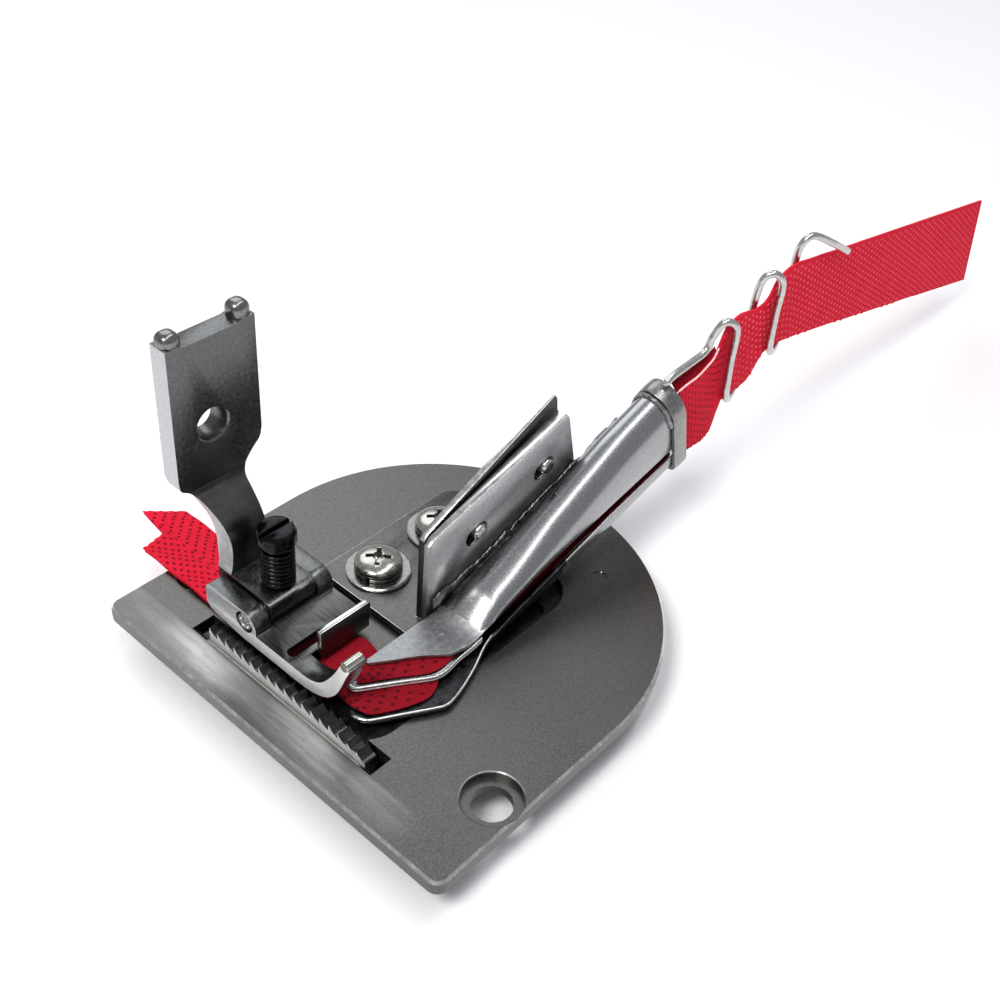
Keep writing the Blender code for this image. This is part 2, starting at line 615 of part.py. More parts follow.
def presser_sole():
    """Hinged sole: two ears, a needle slot and a single left runner with a turned-up toe."""
    x0, x1 = SOLE_X
    low, high = SOLE_Z
    heel = [(SOLE_Y[0], low), (PIN_Y + 0.8, low), (SOLE_Y[1] - 1.9, low + HEEL_RELIEF), (SOLE_Y[1] - 0.7, low + 0.9),
            (SOLE_Y[1], low + 1.7)]
    body = place("presser_sole", prism(heel + [(SOLE_Y[1], high), (SOLE_Y[0], high)], x0, x1, "X"),
                 (STEEL, 0.35, 1.0), origin=(sum(SOLE_X) / 2, PIN_Y, PIN_Z))
    runner = [(SOLE_Y[0] + 1.0, high)] + TOE_TOP + TOE_LOW + [(SOLE_Y[0] + 1.0, low)]
    boolean(body, cutter("sole_runner", prism(runner, x0 + 0.001, RUNNER_RIGHT, "X")), "UNION")
    bead = lathe([(0, x0 - 0.1), (TOE_BEAD - 0.2, x0 - 0.1), (TOE_BEAD, x0 + 0.1), (TOE_BEAD, RUNNER_RIGHT - 0.2),
                  (TOE_BEAD - 0.2, RUNNER_RIGHT), (0, RUNNER_RIGHT)], (0, *TOE_TIP), 14, "X")
    boolean(body, cutter("toe_bead", bead), "UNION")
    ear = [(PIN_Y - KNUCKLE_R, low + 0.4)] + arc(PIN_Y, EAR_TOP - KNUCKLE_R, KNUCKLE_R, 180, 90, 6)
    ear += [(SOLE_Y[1] - 0.6, EAR_TOP), (SOLE_Y[1] - 0.002, EAR_TOP - 0.6), (SOLE_Y[1] - 0.002, low + 1.8),
            (SOLE_Y[1] - 2.4, low + 0.8)]
    for side, start in (("left", x0 + 0.002), ("right", x1 - EAR_T)):
        boolean(body, cutter(f"sole_ear_{side}", prism(ear, start, start + EAR_T - 0.004, "X")), "UNION")
    bore = lathe([(0, -30), (PIN_R + GAP, -30), (PIN_R + GAP, -5), (0, -5)], (0, PIN_Y, PIN_Z), 24, "X")
    boolean(body, cutter("cut_pin_bore", bore))
    slot = prism(obround(*NEEDLE_SLOT_X, NEEDLE_SLOT_Y, NEEDLE_SLOT_R), 1, 8)
    boolean(body, cutter("cut_needle_slot", slot))
    return body


def guide_fin():
    """Upright guard plate along the front of the sole."""
    x0, x1 = FIN_X
    z0, z1 = FIN_Z
    outline = [(x0, z0)] + arc(x1 - 2.0, z0 + 2.0, 2.0, -90, 0, 5) + [(x1, z1 - 0.6), (x1 - 0.5, z1), (x0, z1)]
    return place("guide_fin", prism(outline, *FIN_Y, "Y"), (STEEL, 0.35, 1.0))


def hinge_pin():
    x0, x1 = SOLE_X
    profile = [(0, x0 + 0.05), (PIN_R - 0.2, x0 + 0.05), (PIN_R, x0 + 0.25), (PIN_R, x1 - 0.25), (PIN_R - 0.2, x1 - 0.05),
               (0, x1 - 0.05)]
    return place("hinge_pin", lathe(profile, (0, PIN_Y, PIN_Z), 24, "X"), (BRIGHT, 0.25, 1.0), smooth=True)


def presser_shank():
    """Clamping plate, goose neck and hinge block cut from one bar."""
    by0, by1 = BLOCK_Y
    bz0, bz1 = BLOCK_Z
    front, back = SHANK_Y
    side = [(by0 + 0.5, bz0), (by0, bz0 + 0.7), (by0, bz1 - 0.7), (by0 + 0.25, bz1 - 0.2), (by0 + 0.8, bz1)]
    side += [(18.0, bz1), (17.9, 11.6), (17.5, 13.8), (17.7, 15.6), (18.7, 17.6), (20.6, 19.7), (21.7, 20.9),
             (front, 22.0), (front, SHANK_TOP), (back, SHANK_TOP), (back, 24.4), (24.2, 22.3), (22.6, 19.6),
             (21.2, 17.4), (20.7, 15.0), (by1, 12.0), (by1, bz0 + 1.2), (by1 - 0.8, bz0)]
    sx0, sx1 = SHANK_X
    nx0, nx1 = NECK_X
    body = place("presser_shank", prism(side, sx0 - 1, sx1 + 1, "X"), (SATIN, 0.4, 1.0),
                 origin=(sum(BLOCK_X) / 2, PIN_Y, PIN_Z))
    top = SHANK_TOP
    mask = [(BLOCK_X[0], bz0 - 1), (BLOCK_X[1], bz0 - 1), (BLOCK_X[1], bz1 + 0.02), (nx1, bz1 + 0.6)]
    mask += [(nx1 + 0.1, 18.6), (nx1 + 0.4, 20.6), (sx1 - 1.2, 23.4), (sx1 - 0.2, 25.0), (sx1, 26.4)]
    mask += arc(sx1 - 1.4, top - 1.4, 1.4, 0, 100, 5)
    mask += [(sx1 - 2.6, top - 0.9), (sx1 - 3.4, top - 1.3), (sx0 + 3.0, top - 1.3), (sx0 + 2.4, top - 1.0),
             (sx0 + 2.2, top - 0.1)]
    mask += arc(sx0 + 1.2, top - 1.2, 1.2, 80, 180, 5)
    mask += [(sx0, 23.6), (sx0 + 0.3, 22.6), (sx0 + 1.4, 22.0), (sx0 + 2.6, 20.2), (nx0 - 0.3, 16.6), (nx0, 14.0)]
    mask += [(nx0, bz1 + 0.6), (BLOCK_X[0], bz1 + 0.02)]
    boolean(body, cutter("shank_outline", prism(mask, 5, 30, "Y")), "INTERSECT")
    hx, hz = SHANK_HOLE
    rim = SHANK_HOLE_R + 0.35
    profile = [(0, 20), (rim, 20), (rim, front + 0.0), (SHANK_HOLE_R, front + 0.35), (SHANK_HOLE_R, 27), (0, 27)]
    boolean(body, cutter("cut_shank_hole", lathe(profile, (hx, 0, hz), 32, "Y")))
    bore = lathe([(0, -30), (PIN_R + GAP, -30), (PIN_R + GAP, -5), (0, -5)], (0, PIN_Y, PIN_Z), 24, "X")
    boolean(body, cutter("cut_block_bore", bore))
    well = lathe([(0, PIN_Z + PIN_R + 0.7), (1.25 + GAP, PIN_Z + PIN_R + 0.7), (1.25 + GAP, 11), (0, 11)],
                 (TENSION_X, TENSION_Y, 0), 20)
    boolean(body, cutter("cut_screw_well", well))
    return body


def tension_screw():
    z0, z1 = TENSION_HEAD_Z
    r = TENSION_HEAD_R
    foot = PIN_Z + PIN_R + 1.0
    profile = [(0, foot), (1.25, foot), (1.25, z0), (r, z0), (r, z1 - 0.35), (r - 0.3, z1), (0, z1)]
    centre = (TENSION_X, TENSION_Y, 0)
    screw = place("tension_screw", lathe(profile, centre, 32), (BLACK, 0.4, 1.0),
                  origin=(TENSION_X, TENSION_Y, z0),
                  smooth=True)
    slot = [(TENSION_X - 4, TENSION_Y - 0.4), (TENSION_X + 4, TENSION_Y - 0.4), (TENSION_X + 4, TENSION_Y + 0.4),
            (TENSION_X - 4, TENSION_Y + 0.4)]
    boolean(screw, cutter("cut_driver_slot", prism(slot, z1 - 0.8, z1 + 1)))
    return screw


def tension_spring():
    """Coil between the screw head and the block, as one wire with flat-looking ends."""
    low = BLOCK_Z[1] + GAP + SPRING_WIRE
    high = TENSION_HEAD_Z[0] - GAP - SPRING_WIRE
    sides, steps = 6, int(SPRING_TURNS * 14)
    rings = []
    for i in range(steps + 1):
        turn = SPRING_TURNS * math.tau * i / steps
        height = low + (high - low) * i / steps
        out = Vector((math.cos(turn), math.sin(turn), 0))
        middle = Vector((TENSION_X, TENSION_Y, height)) + out * SPRING_R
        rings.append([middle + out * (SPRING_WIRE * math.cos(a)) + Vector((0, 0, SPRING_WIRE * math.sin(a)))
                      for a in [math.tau * k / sides for k in range(sides)]])
    return place("tension_spring", stack(rings), (BLACK, 0.35, 1.0), origin=(TENSION_X, TENSION_Y, low), smooth=True)


def main():
    clear_scene()
    needle_plate()
    feed_dog()
    bracket()
    bracket_screws()
    scroll_flange()
    flange_studs()
    scroll_upper_shell()
    scroll_lower_shell()
    scroll_tongue()
    tube_collar()
    tape_guide_wire()
    tape_supply()
    tape_in_tube()
    tape_leaves()
    tape_tail()
    presser_sole()
    guide_fin()
    hinge_pin()
    presser_shank()
    tension_screw()
    tension_spring()


main()
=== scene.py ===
# %% [markdown]
# # Right-angle tape binder set
# A needle plate carries a feed dog, a bracket with a rolled sheet-metal scroll, a wire tape guide
# and a hinged presser foot, and a red tape runs through it all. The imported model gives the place
# and the movement of every part. This script gives each part its finished shape and surface.

# %%
import math
import random

import bmesh
import bpy
from mathutils import Matrix, Vector


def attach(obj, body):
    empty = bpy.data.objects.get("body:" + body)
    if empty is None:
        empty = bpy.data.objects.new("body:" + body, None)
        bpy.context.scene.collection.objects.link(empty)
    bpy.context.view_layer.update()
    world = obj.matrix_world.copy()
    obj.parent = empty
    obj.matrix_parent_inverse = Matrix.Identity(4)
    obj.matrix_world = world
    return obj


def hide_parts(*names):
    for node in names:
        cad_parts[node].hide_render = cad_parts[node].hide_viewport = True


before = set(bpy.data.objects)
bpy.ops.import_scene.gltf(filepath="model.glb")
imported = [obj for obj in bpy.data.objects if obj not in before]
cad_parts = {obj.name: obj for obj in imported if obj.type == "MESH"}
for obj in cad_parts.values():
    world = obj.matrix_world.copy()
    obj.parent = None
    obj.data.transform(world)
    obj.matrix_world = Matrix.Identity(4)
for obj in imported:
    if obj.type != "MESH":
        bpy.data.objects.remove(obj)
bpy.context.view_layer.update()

# %% [markdown]
# ## Shared places
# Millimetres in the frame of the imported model: the plate's round end is centred on the origin.

# %%
MM = 0.001
SCREW_XS, SCREW_Y = (-2.5, 9.5), 9.8
STUDS = ((4.4, 14.3), (17.6, 18.2))
PIN = (0, 12.2, 6.8)
TENSION_X, TENSION_Y = -17.45, 13.0
SHANK_HOLE = (-19.1, 0, 30.65)
DOG_X = -25.0
TUBE_END = 39.6
TAPE_Y, TAPE_WIDTH = -8.0, 18.0
LEAN = math.radians(15.4)
print("tape", TAPE_WIDTH, "mm wide, tube ends at", TUBE_END)

# %% [markdown]
# ## Shape helpers
# Outlines are drawn in millimetres. `arc` gives points on a circle, `prism` pulls an outline
# through a distance, `lathe` turns a profile and `skin` joins a row of equal rings.

# %%
def arc(cx, cy, r, start, end, steps):
    angles = [math.radians(start + (end - start) * i / steps) for i in range(steps + 1)]
    return [(cx + r * math.cos(a), cy + r * math.sin(a)) for a in angles]


def obround(x0, x1, y, r, steps=14):
    return arc(x1, y, r, -90, 90, steps) + arc(x0, y, r, 90, 270, steps)


def box(x0, x1, y0, y1):
    return [(x0, y0), (x1, y0), (x1, y1), (x0, y1)]


def prism(outline, low, high, axis="Z"):
    order = {"Z": (0, 1, 2), "Y": (0, 2, 1), "X": (2, 0, 1)}[axis]
    return skin([[tuple((a, b, level)[k] for k in order) for a, b in outline] for level in (low, high)])


def moved(made, *steps):
    """The mesh after a chain of turns and shifts, the last one first."""
    whole = steps[0]
    for step in steps[1:]:
        whole = whole @ step
    bmesh.ops.transform(made, matrix=whole, verts=made.verts)
    return made


def turned(degrees, axis):
    return Matrix.Rotation(math.radians(degrees), 4, axis)


def skin(rings, ends="capped", round_about=True):
    made = bmesh.new()
    verts = [[made.verts.new(p) for p in ring] for ring in rings]
    count = len(rings[0])
    if ends == "loop":
        verts.append(verts[0])
    for lower, upper in zip(verts, verts[1:]):
        for i in range(count if round_about else count - 1):
            j = (i + 1) % count
            made.faces.new((lower[i], lower[j], upper[j], upper[i]))
    if ends == "capped":
        made.faces.new(verts[0])
        made.faces.new(verts[-1])
    return made


def lathe(profile, centre, steps=48, axis="Z"):
    made = bmesh.new()
    turn = {"Z": Matrix.Identity(3), "Y": Matrix.Rotation(math.radians(-90), 3, "X"),
            "X": Matrix.Rotation(math.radians(90), 3, "Y")}[axis]
    rings = []
    for r, h in profile:
        ring = []
        for i in range(1 if r == 0 else steps):
            a = math.tau * i / steps
            spoke = Vector((r * math.cos(a), r * math.sin(a), h))
            ring.append(made.verts.new(Vector(centre) + turn @ spoke))
        rings.append(ring)
    for lower, upper in zip(rings, rings[1:]):
        for i in range(steps):
            j = (i + 1) % steps
            four = ((lower, i), (lower, j), (upper, j), (upper, i))
            corner = list(dict.fromkeys(ring[k % len(ring)] for ring, k in four))
            if len(corner) > 2:
                made.faces.new(corner)
    return made


def bore(r, low, high):
    """Profile of a plain round hole or pin."""
    return [(0, low), (r, low), (r, high), (0, high)]


def lookup(table, x):
    """Value at x on a line through the table's points."""
    if x <= table[0][0]:
        return table[0][1]
    for (x0, v0), (x1, v1) in zip(table, table[1:]):
        if x <= x1:
            return v0 + (v1 - v0) * (x - x0) / (x1 - x0)
    return table[-1][1]


def eased(table, x, spread=1.5):
    """A table read with its corners rounded off."""
    offsets = (-1, -0.6, -0.2, 0.2, 0.6, 1)
    return sum(lookup(table, x + spread * k) for k in offsets) / len(offsets)


def smooth_path(points, per_span):
    route = [Vector(p) for p in points]
    route = [route[0] * 2 - route[1]] + route + [route[-1] * 2 - route[-2]]
    made = []
    for a, b, c, d in zip(route, route[1:], route[2:], route[3:]):
        for i in range(per_span):
            t = i / per_span
            made.append(0.5 * (2 * b + (c - a) * t + (2 * a - 5 * b + 4 * c - d) * t ** 2
                               + (3 * b - a - 3 * c + d) * t ** 3))
    return made + [route[-2]]


def plane_path(points, per_span):
    return [(p.x, p.y) for p in smooth_path([(a, b, 0) for a, b in points], per_span)]


def sweep(path, radius, sides=14, blunt=0.3):
    """Round rod along a path, with softened ends."""
    path = [Vector(p) for p in path]
    first, last = (path[0] - path[1]).normalized(), (path[-1] - path[-2]).normalized()
    path = [path[0] + first * blunt] + path + [path[-1] + last * blunt]
    rings, side = [], None
    for i, at in enumerate(path):
        ahead = (path[min(i + 1, len(path) - 1)] - path[max(i - 1, 0)]).normalized()
        side = ahead.orthogonal() if side is None else side - ahead * side.dot(ahead)
        side.normalize()
        up = ahead.cross(side)
        r = radius * (0.6 if i in (0, len(path) - 1) else 1.0)
        rings.append([at + (side * math.cos(math.tau * k / sides) + up * math.sin(math.tau * k / sides)) * r
                      for k in range(sides)])
    return skin(rings)


def stations(start, end, count):
    return [start + (end - start) * i / count for i in range(count + 1)]


# %% [markdown]
# ## Making and finishing pieces
# `solid` turns a millimetre mesh into an object, `cut` and `soften` add a boolean and an edge
# rounding, and `settle` turns the result into a plain mesh that rides on its body.

# %%
spare = []


def placed(name, data):
    obj = bpy.data.objects.new(name, data)
    bpy.context.collection.objects.link(obj)
    return obj


def solid(name, made, *looks):
    bmesh.ops.recalc_face_normals(made, faces=made.faces)
    bmesh.ops.scale(made, vec=(MM, MM, MM), verts=made.verts)
    mesh = bpy.data.meshes.new(name)
    made.to_mesh(mesh)
    made.free()
    for look in looks:
        mesh.materials.append(look)
    return placed(name, mesh)


def cut(obj, made, operation="DIFFERENCE"):
    tool = solid(obj.name + "_tool", made)
    tool.hide_render = True
    spare.append(tool)
    step = obj.modifiers.new("Cut", "BOOLEAN")
    step.operation, step.solver, step.object = operation, "EXACT", tool


def soften(obj, width, segments=2, angle=30):
    step = obj.modifiers.new("Edges", "BEVEL")
    step.width, step.segments = width * MM, segments
    step.limit_method, step.angle_limit = "ANGLE", math.radians(angle)


def sheet_of(obj, thickness):
    step = obj.modifiers.new("Sheet", "SOLIDIFY")
    step.thickness, step.offset, step.use_even_offset = thickness * MM, 0.0, False


def bake(obj):
    graph = bpy.context.evaluated_depsgraph_get()
    graph.update()
    mesh = bpy.data.meshes.new_from_object(obj.evaluated_get(graph), depsgraph=graph)
    obj.modifiers.clear()
    old = obj.data
    obj.data = mesh
    bpy.data.meshes.remove(old)
    mesh.name = obj.name
    while spare:
        bpy.data.objects.remove(spare.pop(), do_unlink=True)


def settle(obj, body, *nodes, angle=32, slot=None):
    bake(obj)
    obj.data.shade_smooth()
    obj.data.set_sharp_from_angle(angle=math.radians(angle))
    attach(obj, body)
    if nodes:
        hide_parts(*nodes)
    print(obj.name, len(obj.data.polygons), "faces")
    return obj


def paint(obj, index, test):
    """Give the faces that pass the test another of the object's materials."""
    for face in obj.data.polygons:
        if test(face.center / MM, face.normal):
            face.material_index = index


# %% [markdown]
# ## Steel surfaces
# One recipe serves every steel: two tones mixed by a grain stretched along the tool marks and by
# a slow stain, a roughness that follows the grain, and a fine bump.

# %%
def new_material(name):
    look = bpy.data.materials.new(name)
    look.use_nodes = True
    return look, look.node_tree, look.node_tree.nodes["Principled BSDF"]


def put_in(node, **values):
    """Set a node's inputs; an underscore in a name stands for a space."""
    for name, value in values.items():
        node.inputs[name.replace("_", " ")].default_value = value


def noise(tree, scale, stretch=(1, 1, 1), detail=4.0, rough=0.6, turn=(0, 0, 0)):
    coord = tree.nodes.new("ShaderNodeTexCoord")
    mapping = tree.nodes.new("ShaderNodeMapping")
    put_in(mapping, Scale=stretch, Rotation=turn)
    made = tree.nodes.new("ShaderNodeTexNoise")
    put_in(made, Scale=scale, Detail=detail, Roughness=rough)
    tree.links.new(coord.outputs["Object"], mapping.inputs["Vector"])
    tree.links.new(mapping.outputs["Vector"], made.inputs["Vector"])
    return made.outputs["Fac"]


def ramp(tree, source, *stops):
    made = tree.nodes.new("ShaderNodeValToRGB")
    tree.links.new(source, made.inputs["Fac"])
    band = made.color_ramp
    while len(band.elements) < len(stops):
        band.elements.new(0.5)
    for element, (at, colour) in zip(band.elements, stops):
        element.position = at
        element.color = (*colour, 1.0) if isinstance(colour, tuple) else (colour, colour, colour, 1.0)
    return made.outputs["Color"]


def blend(tree, factor, a, b):
    """Mix of two colours; b is a colour or a socket."""
    made = tree.nodes.new("ShaderNodeMix")
    made.data_type = "RGBA"
    colours = {socket.name: socket for socket in made.inputs if socket.type == "RGBA"}
    tree.links.new(factor, made.inputs["Factor"])
    tree.links.new(a, colours["A"])
    if isinstance(b, tuple):
        colours["B"].default_value = (*b, 1.0)
    else:
        tree.links.new(b, colours["B"])
    return next(socket for socket in made.outputs if socket.type == "RGBA")


def spans(tree, source, low, high, to_low=0.0, to_high=1.0):
    made = tree.nodes.new("ShaderNodeMapRange")
    put_in(made, From_Min=low, From_Max=high, To_Min=to_low, To_Max=to_high)
    tree.links.new(source, made.inputs["Value"])
    return made.outputs["Result"]


def along(tree, direction, low, high):
    """0 to 1 between two distances in millimetres, measured along a direction of the object."""
    coord = tree.nodes.new("ShaderNodeTexCoord")
    made = tree.nodes.new("ShaderNodeVectorMath")
    made.operation = "DOT_PRODUCT"
    made.inputs[1].default_value = direction
    tree.links.new(coord.outputs["Object"], made.inputs[0])
    return spans(tree, made.outputs["Value"], low * MM, high * MM)


def times(tree, *factors):
    result = factors[0]
    for factor in factors[1:]:
        made = tree.nodes.new("ShaderNodeMath")
        made.operation = "MULTIPLY"
        tree.links.new(result, made.inputs[0])
        tree.links.new(factor, made.inputs[1])
        result = made.outputs["Value"]
    return result


def emboss(tree, shader, height, strength, depth):
    """Fine bump, its depth in millimetres."""
    relief = tree.nodes.new("ShaderNodeBump")
    put_in(relief, Strength=strength, Distance=depth * MM)
    tree.links.new(height, relief.inputs["Height"])
    tree.links.new(relief.outputs["Normal"], shader.inputs["Normal"])


def steel(name, dark, light, rough=(0.25, 0.4), grain=900, stretch=(1, 1, 1), turn=(0, 0, 0), bump=0.06,
          stain=None, stain_scale=120, stain_from=(0.5, 0.7), metallic=1.0, zone=None):
    look, tree, shader = new_material(name)
    fine = noise(tree, grain, stretch, 5, 0.65, turn)
    colour = ramp(tree, fine, (0.32, dark), (0.72, light))
    if stain:
        slow = noise(tree, stain_scale, (1, 1, 1), 6, 0.6)
        colour = blend(tree, ramp(tree, slow, (stain_from[0], 0.0), (stain_from[1], 1.0)), colour, stain)
    if zone:
        colour = blend(tree, zone[0](tree), colour, zone[1])
    tree.links.new(colour, shader.inputs["Base Color"])
    tree.links.new(spans(tree, fine, 0.3, 0.7, *rough), shader.inputs["Roughness"])
    put_in(shader, Metallic=metallic)
    emboss(tree, shader, fine, bump, 0.1)
    return look


def painted_reflection_strip(tree):
    """Painted reflection: the strip of the plate left of the feed slot painted lighter, in streaks, where a
    soft light would reflect.
    """
    left = ramp(tree, along(tree, (1, 0, 0), -32.5, -27.0), (0.0, 0.15), (0.55, 1.0), (0.9, 0.8), (1.0, 0.0))
    length = ramp(tree, along(tree, (0, 1, 0), -24.0, 26.0), (0.0, 0.0), (0.3, 0.7), (0.7, 1.0), (0.95, 0.2))
    streak = ramp(tree, noise(tree, 260, (1, 0.12, 1), 6, 0.7), (0.42, 0.25), (0.62, 1.0))
    return times(tree, left, length, streak)


def heat_stain(tree):
    """Mottled darkening of the tube beside the solder."""
    near = ramp(tree, along(tree, (0, 1, 0), -5.0, -2.4), (0.0, 0.0), (0.5, 0.6), (1.0, 1.0))
    return times(tree, near, ramp(tree, noise(tree, 260, (1, 1, 1), 7, 0.7), (0.35, 0.2), (0.6, 1.0)))


def burnt_foot(tree):
    """The heat-stained lower part of the front sheet."""
    low = ramp(tree, along(tree, (-0.2755, 0, 1), 6.0, 15.5), (0.0, 1.0), (0.45, 0.85), (0.8, 0.0))
    return times(tree, low, ramp(tree, noise(tree, 210, (1, 1, 1), 7, 0.7), (0.3, 0.75), (0.6, 1.0)))


# Dark ground steel with a slow stain, plus a painted reflection on the strip left of the feed slot.
PLATE = steel("plate_ground_steel", (0.085, 0.083, 0.078), (0.165, 0.162, 0.153), (0.3, 0.4), 3600,
              bump=0.16, stain=(0.16, 0.158, 0.15), stain_scale=14, stain_from=(0.5, 0.95),
              zone=(painted_reflection_strip, (0.55, 0.55, 0.52)))
# Painted highlight: polished edges and chamfers painted much lighter than the faces beside them.
EDGE_HIGHLIGHT = steel("polished_edge", (0.5, 0.5, 0.49), (0.8, 0.8, 0.79), (0.15, 0.3), 800, bump=0.03)
# Painted shade: near black for slot walls, pocket floors and screw slots, where shade falls.
RECESS_SHADE = steel("dark_slot_wall", (0.015, 0.015, 0.015), (0.05, 0.05, 0.05), (0.4, 0.6), 800)
BRACKET = steel("bracket_sheet", (0.085, 0.084, 0.08), (0.16, 0.158, 0.15), (0.3, 0.42), 2200, bump=0.1)
FLANGE = steel("flange_sheet", (0.46, 0.465, 0.47), (0.60, 0.605, 0.61), (0.26, 0.36), 2400, bump=0.03,
               metallic=0.5, zone=(burnt_foot, (0.05, 0.052, 0.056)))
CHROME = steel("polished_tube", (0.27, 0.275, 0.28), (0.42, 0.425, 0.43), (0.22, 0.3), 4200, bump=0.05,
               zone=(heat_stain, (0.07, 0.072, 0.076)))
FROST = steel("filed_lip", (0.24, 0.245, 0.25), (0.40, 0.405, 0.41), (0.34, 0.48), 1400, bump=0.25,
              stain=(0.55, 0.55, 0.56), stain_scale=700, stain_from=(0.62, 0.7))
# Painted shade: near black for the lower shell under the upper one and the rim's underside rod, with a
# lighter random stain.
GUTTER_SHADE = steel("stained_gutter", (0.02, 0.021, 0.023), (0.075, 0.077, 0.08), (0.25, 0.45), 900, bump=0.2,
               stain=(0.2, 0.2, 0.2), stain_scale=600, stain_from=(0.64, 0.74))
# Bright polished steel for studs, hinge pin and washer edges, also used as painted highlight on bevels, the
# fin and rim top rods.
BRIGHT_STEEL_AND_HIGHLIGHT = steel("rolled_rim", (0.5, 0.5, 0.49), (0.8, 0.8, 0.78), (0.12, 0.25), 700, bump=0.04)
SOLDER = steel("burnt_solder", (0.07, 0.072, 0.076), (0.40, 0.40, 0.40), (0.3, 0.5), 520, bump=0.7)
COLLAR = steel("collar_band", (0.20, 0.20, 0.195), (0.36, 0.36, 0.35), (0.26, 0.4), 1400, bump=0.1)
WIRE = steel("guide_wire_steel", (0.46, 0.46, 0.44), (0.66, 0.66, 0.64), (0.16, 0.3), 1500, bump=0.04)
FOOT = steel("foot_steel", (0.10, 0.103, 0.103), (0.19, 0.193, 0.19), (0.24, 0.36), 2000, bump=0.08)
# Painted light: left faces of the sole and the shank, turned to the key light, painted light grey.
FOOT_LIT_SIDE = steel("foot_side_steel", (0.42, 0.43, 0.44), (0.58, 0.59, 0.60), (0.3, 0.45), 2200, bump=0.15,
                  metallic=0.55)
# Painted light: the sole's left runner face painted near white, as lit and reflecting bright surroundings.
RUNNER_LIT_SIDE = steel("runner_side_steel", (0.66, 0.66, 0.64), (0.85, 0.85, 0.83), (0.3, 0.4), 2200, bump=0.06,
               metallic=0.35)
SOLE_TOP = steel("sole_brushed_top", (0.10, 0.103, 0.103), (0.19, 0.193, 0.19), (0.24, 0.36), 4200,
                 (1, 0.06, 1), bump=0.12)
SHANK = steel("shank_front_steel", (0.075, 0.077, 0.078), (0.11, 0.112, 0.112), (0.3, 0.38), 2600, bump=0.02,
              stain=(0.2, 0.185, 0.155), stain_scale=55, stain_from=(0.5, 0.75))
TOOTH = steel("feed_tooth_steel", (0.03, 0.03, 0.03), (0.09, 0.09, 0.09), (0.2, 0.35), 900, bump=0.1)
# Painted reflection: tooth sides and the bar's left face painted near white for the bright surroundings they
# reflect.
TOOTH_SIDE_REFLECTION = steel("feed_tooth_side", (0.7, 0.7, 0.68), (0.9, 0.9, 0.88), (0.3, 0.45), 900, bump=0.05,
                   metallic=0.25)
WASHER = steel("washer_steel", (0.16, 0.16, 0.155), (0.28, 0.28, 0.27), (0.2, 0.3), 1500, bump=0.05)
NICKEL = steel("nickel_screw", (0.34, 0.34, 0.30), (0.52, 0.52, 0.47), (0.16, 0.26), 1500, bump=0.04)
BLACK = steel("black_oxide", (0.008, 0.008, 0.009), (0.03, 0.03, 0.032), (0.12, 0.26), 1500, bump=0.05)

# %% [markdown]
# ## Tape cloth
# Pressed fibre tape: a saturated red with fine fibres, a slow unevenness and a soft sheen.

# %%
def cloth(name, dark, light, scale=1800):
    look, tree, shader = new_material(name)
    fibre = noise(tree, scale, (1, 1, 1), 8, 0.75)
    slow = noise(tree, 160, (1, 1, 1), 3, 0.5)
    colour = ramp(tree, fibre, (0.3, dark), (0.7, light))
    colour = blend(tree, spans(tree, slow, 0.4, 0.7, 0.0, 0.35), colour, light)
    tree.links.new(colour, shader.inputs["Base Color"])
    tree.links.new(spans(tree, fibre, 0.3, 0.7, 0.75, 0.95), shader.inputs["Roughness"])
    put_in(shader, Specular_IOR_Level=0.15)
    emboss(tree, shader, fibre, 0.5, 0.12)
    return look


RED = cloth("red_tape_cloth", (0.55, 0.004, 0.02), (0.80, 0.016, 0.045))
# Painted shade: a dark copy of the tape cloth for tape in shade inside the tube, at the mouth, behind the
# fold and on the tail.
RED_SHADED = cloth("red_tape_folded", (0.15, 0.001, 0.006), (0.30, 0.004, 0.014))
# Painted shade: a dark copy of the cloth for dots pressed in as hollows.
RED_DOT_SHADE = cloth("red_tape_pressed", (0.17, 0.002, 0.008), (0.30, 0.006, 0.02))
RED_DEEP = cloth("red_tape_shaded", (0.055, 0.0006, 0.003), (0.12, 0.002, 0.008))
CUT_EDGE = cloth("tape_cut_edge", (0.75, 0.45, 0.45), (0.95, 0.8, 0.78))
# Painted highlight: a lighter copy of the cloth for the raised bumps.
RED_BUMP_HIGHLIGHT = cloth("red_tape_bump", (0.74, 0.03, 0.06), (0.92, 0.12, 0.17))

# %% [markdown]
# ## Studio
# A plain pale floor just under the feed dog, a grey sky, one key light from the left and a broad
# soft fill. The camera looks down on the foot from the operator's left.

# %%
def studio():
    floor = solid("floor", prism(box(-1500, 1500, -1500, 1500), -7.0, -5.1))
    look, tree, shader = new_material("pale_floor")
    put_in(shader, Base_Color=(0.93, 0.93, 0.945, 1), Roughness=0.9, Specular_IOR_Level=0.1)
    floor.data.materials.append(look)
    world = bpy.data.worlds.new("studio_sky")
    bpy.context.scene.world = world
    world.use_nodes = True
    sky = world.node_tree.nodes["Background"]
    put_in(sky, Color=(0.93, 0.95, 1.0, 1), Strength=0.45)


def lamp(name, at, aim, size, power, colour=(1, 1, 1), long=None):
    data = bpy.data.lights.new(name, "AREA")
    data.shape, data.size, data.energy, data.color = "DISK", size, power, colour
    if long:
        data.shape, data.size, data.size_y = "RECTANGLE", long, size
    obj = placed(name, data)
    obj.location = at
    obj.rotation_euler = (Vector(aim) - Vector(at)).to_track_quat("-Z", "Y").to_euler()


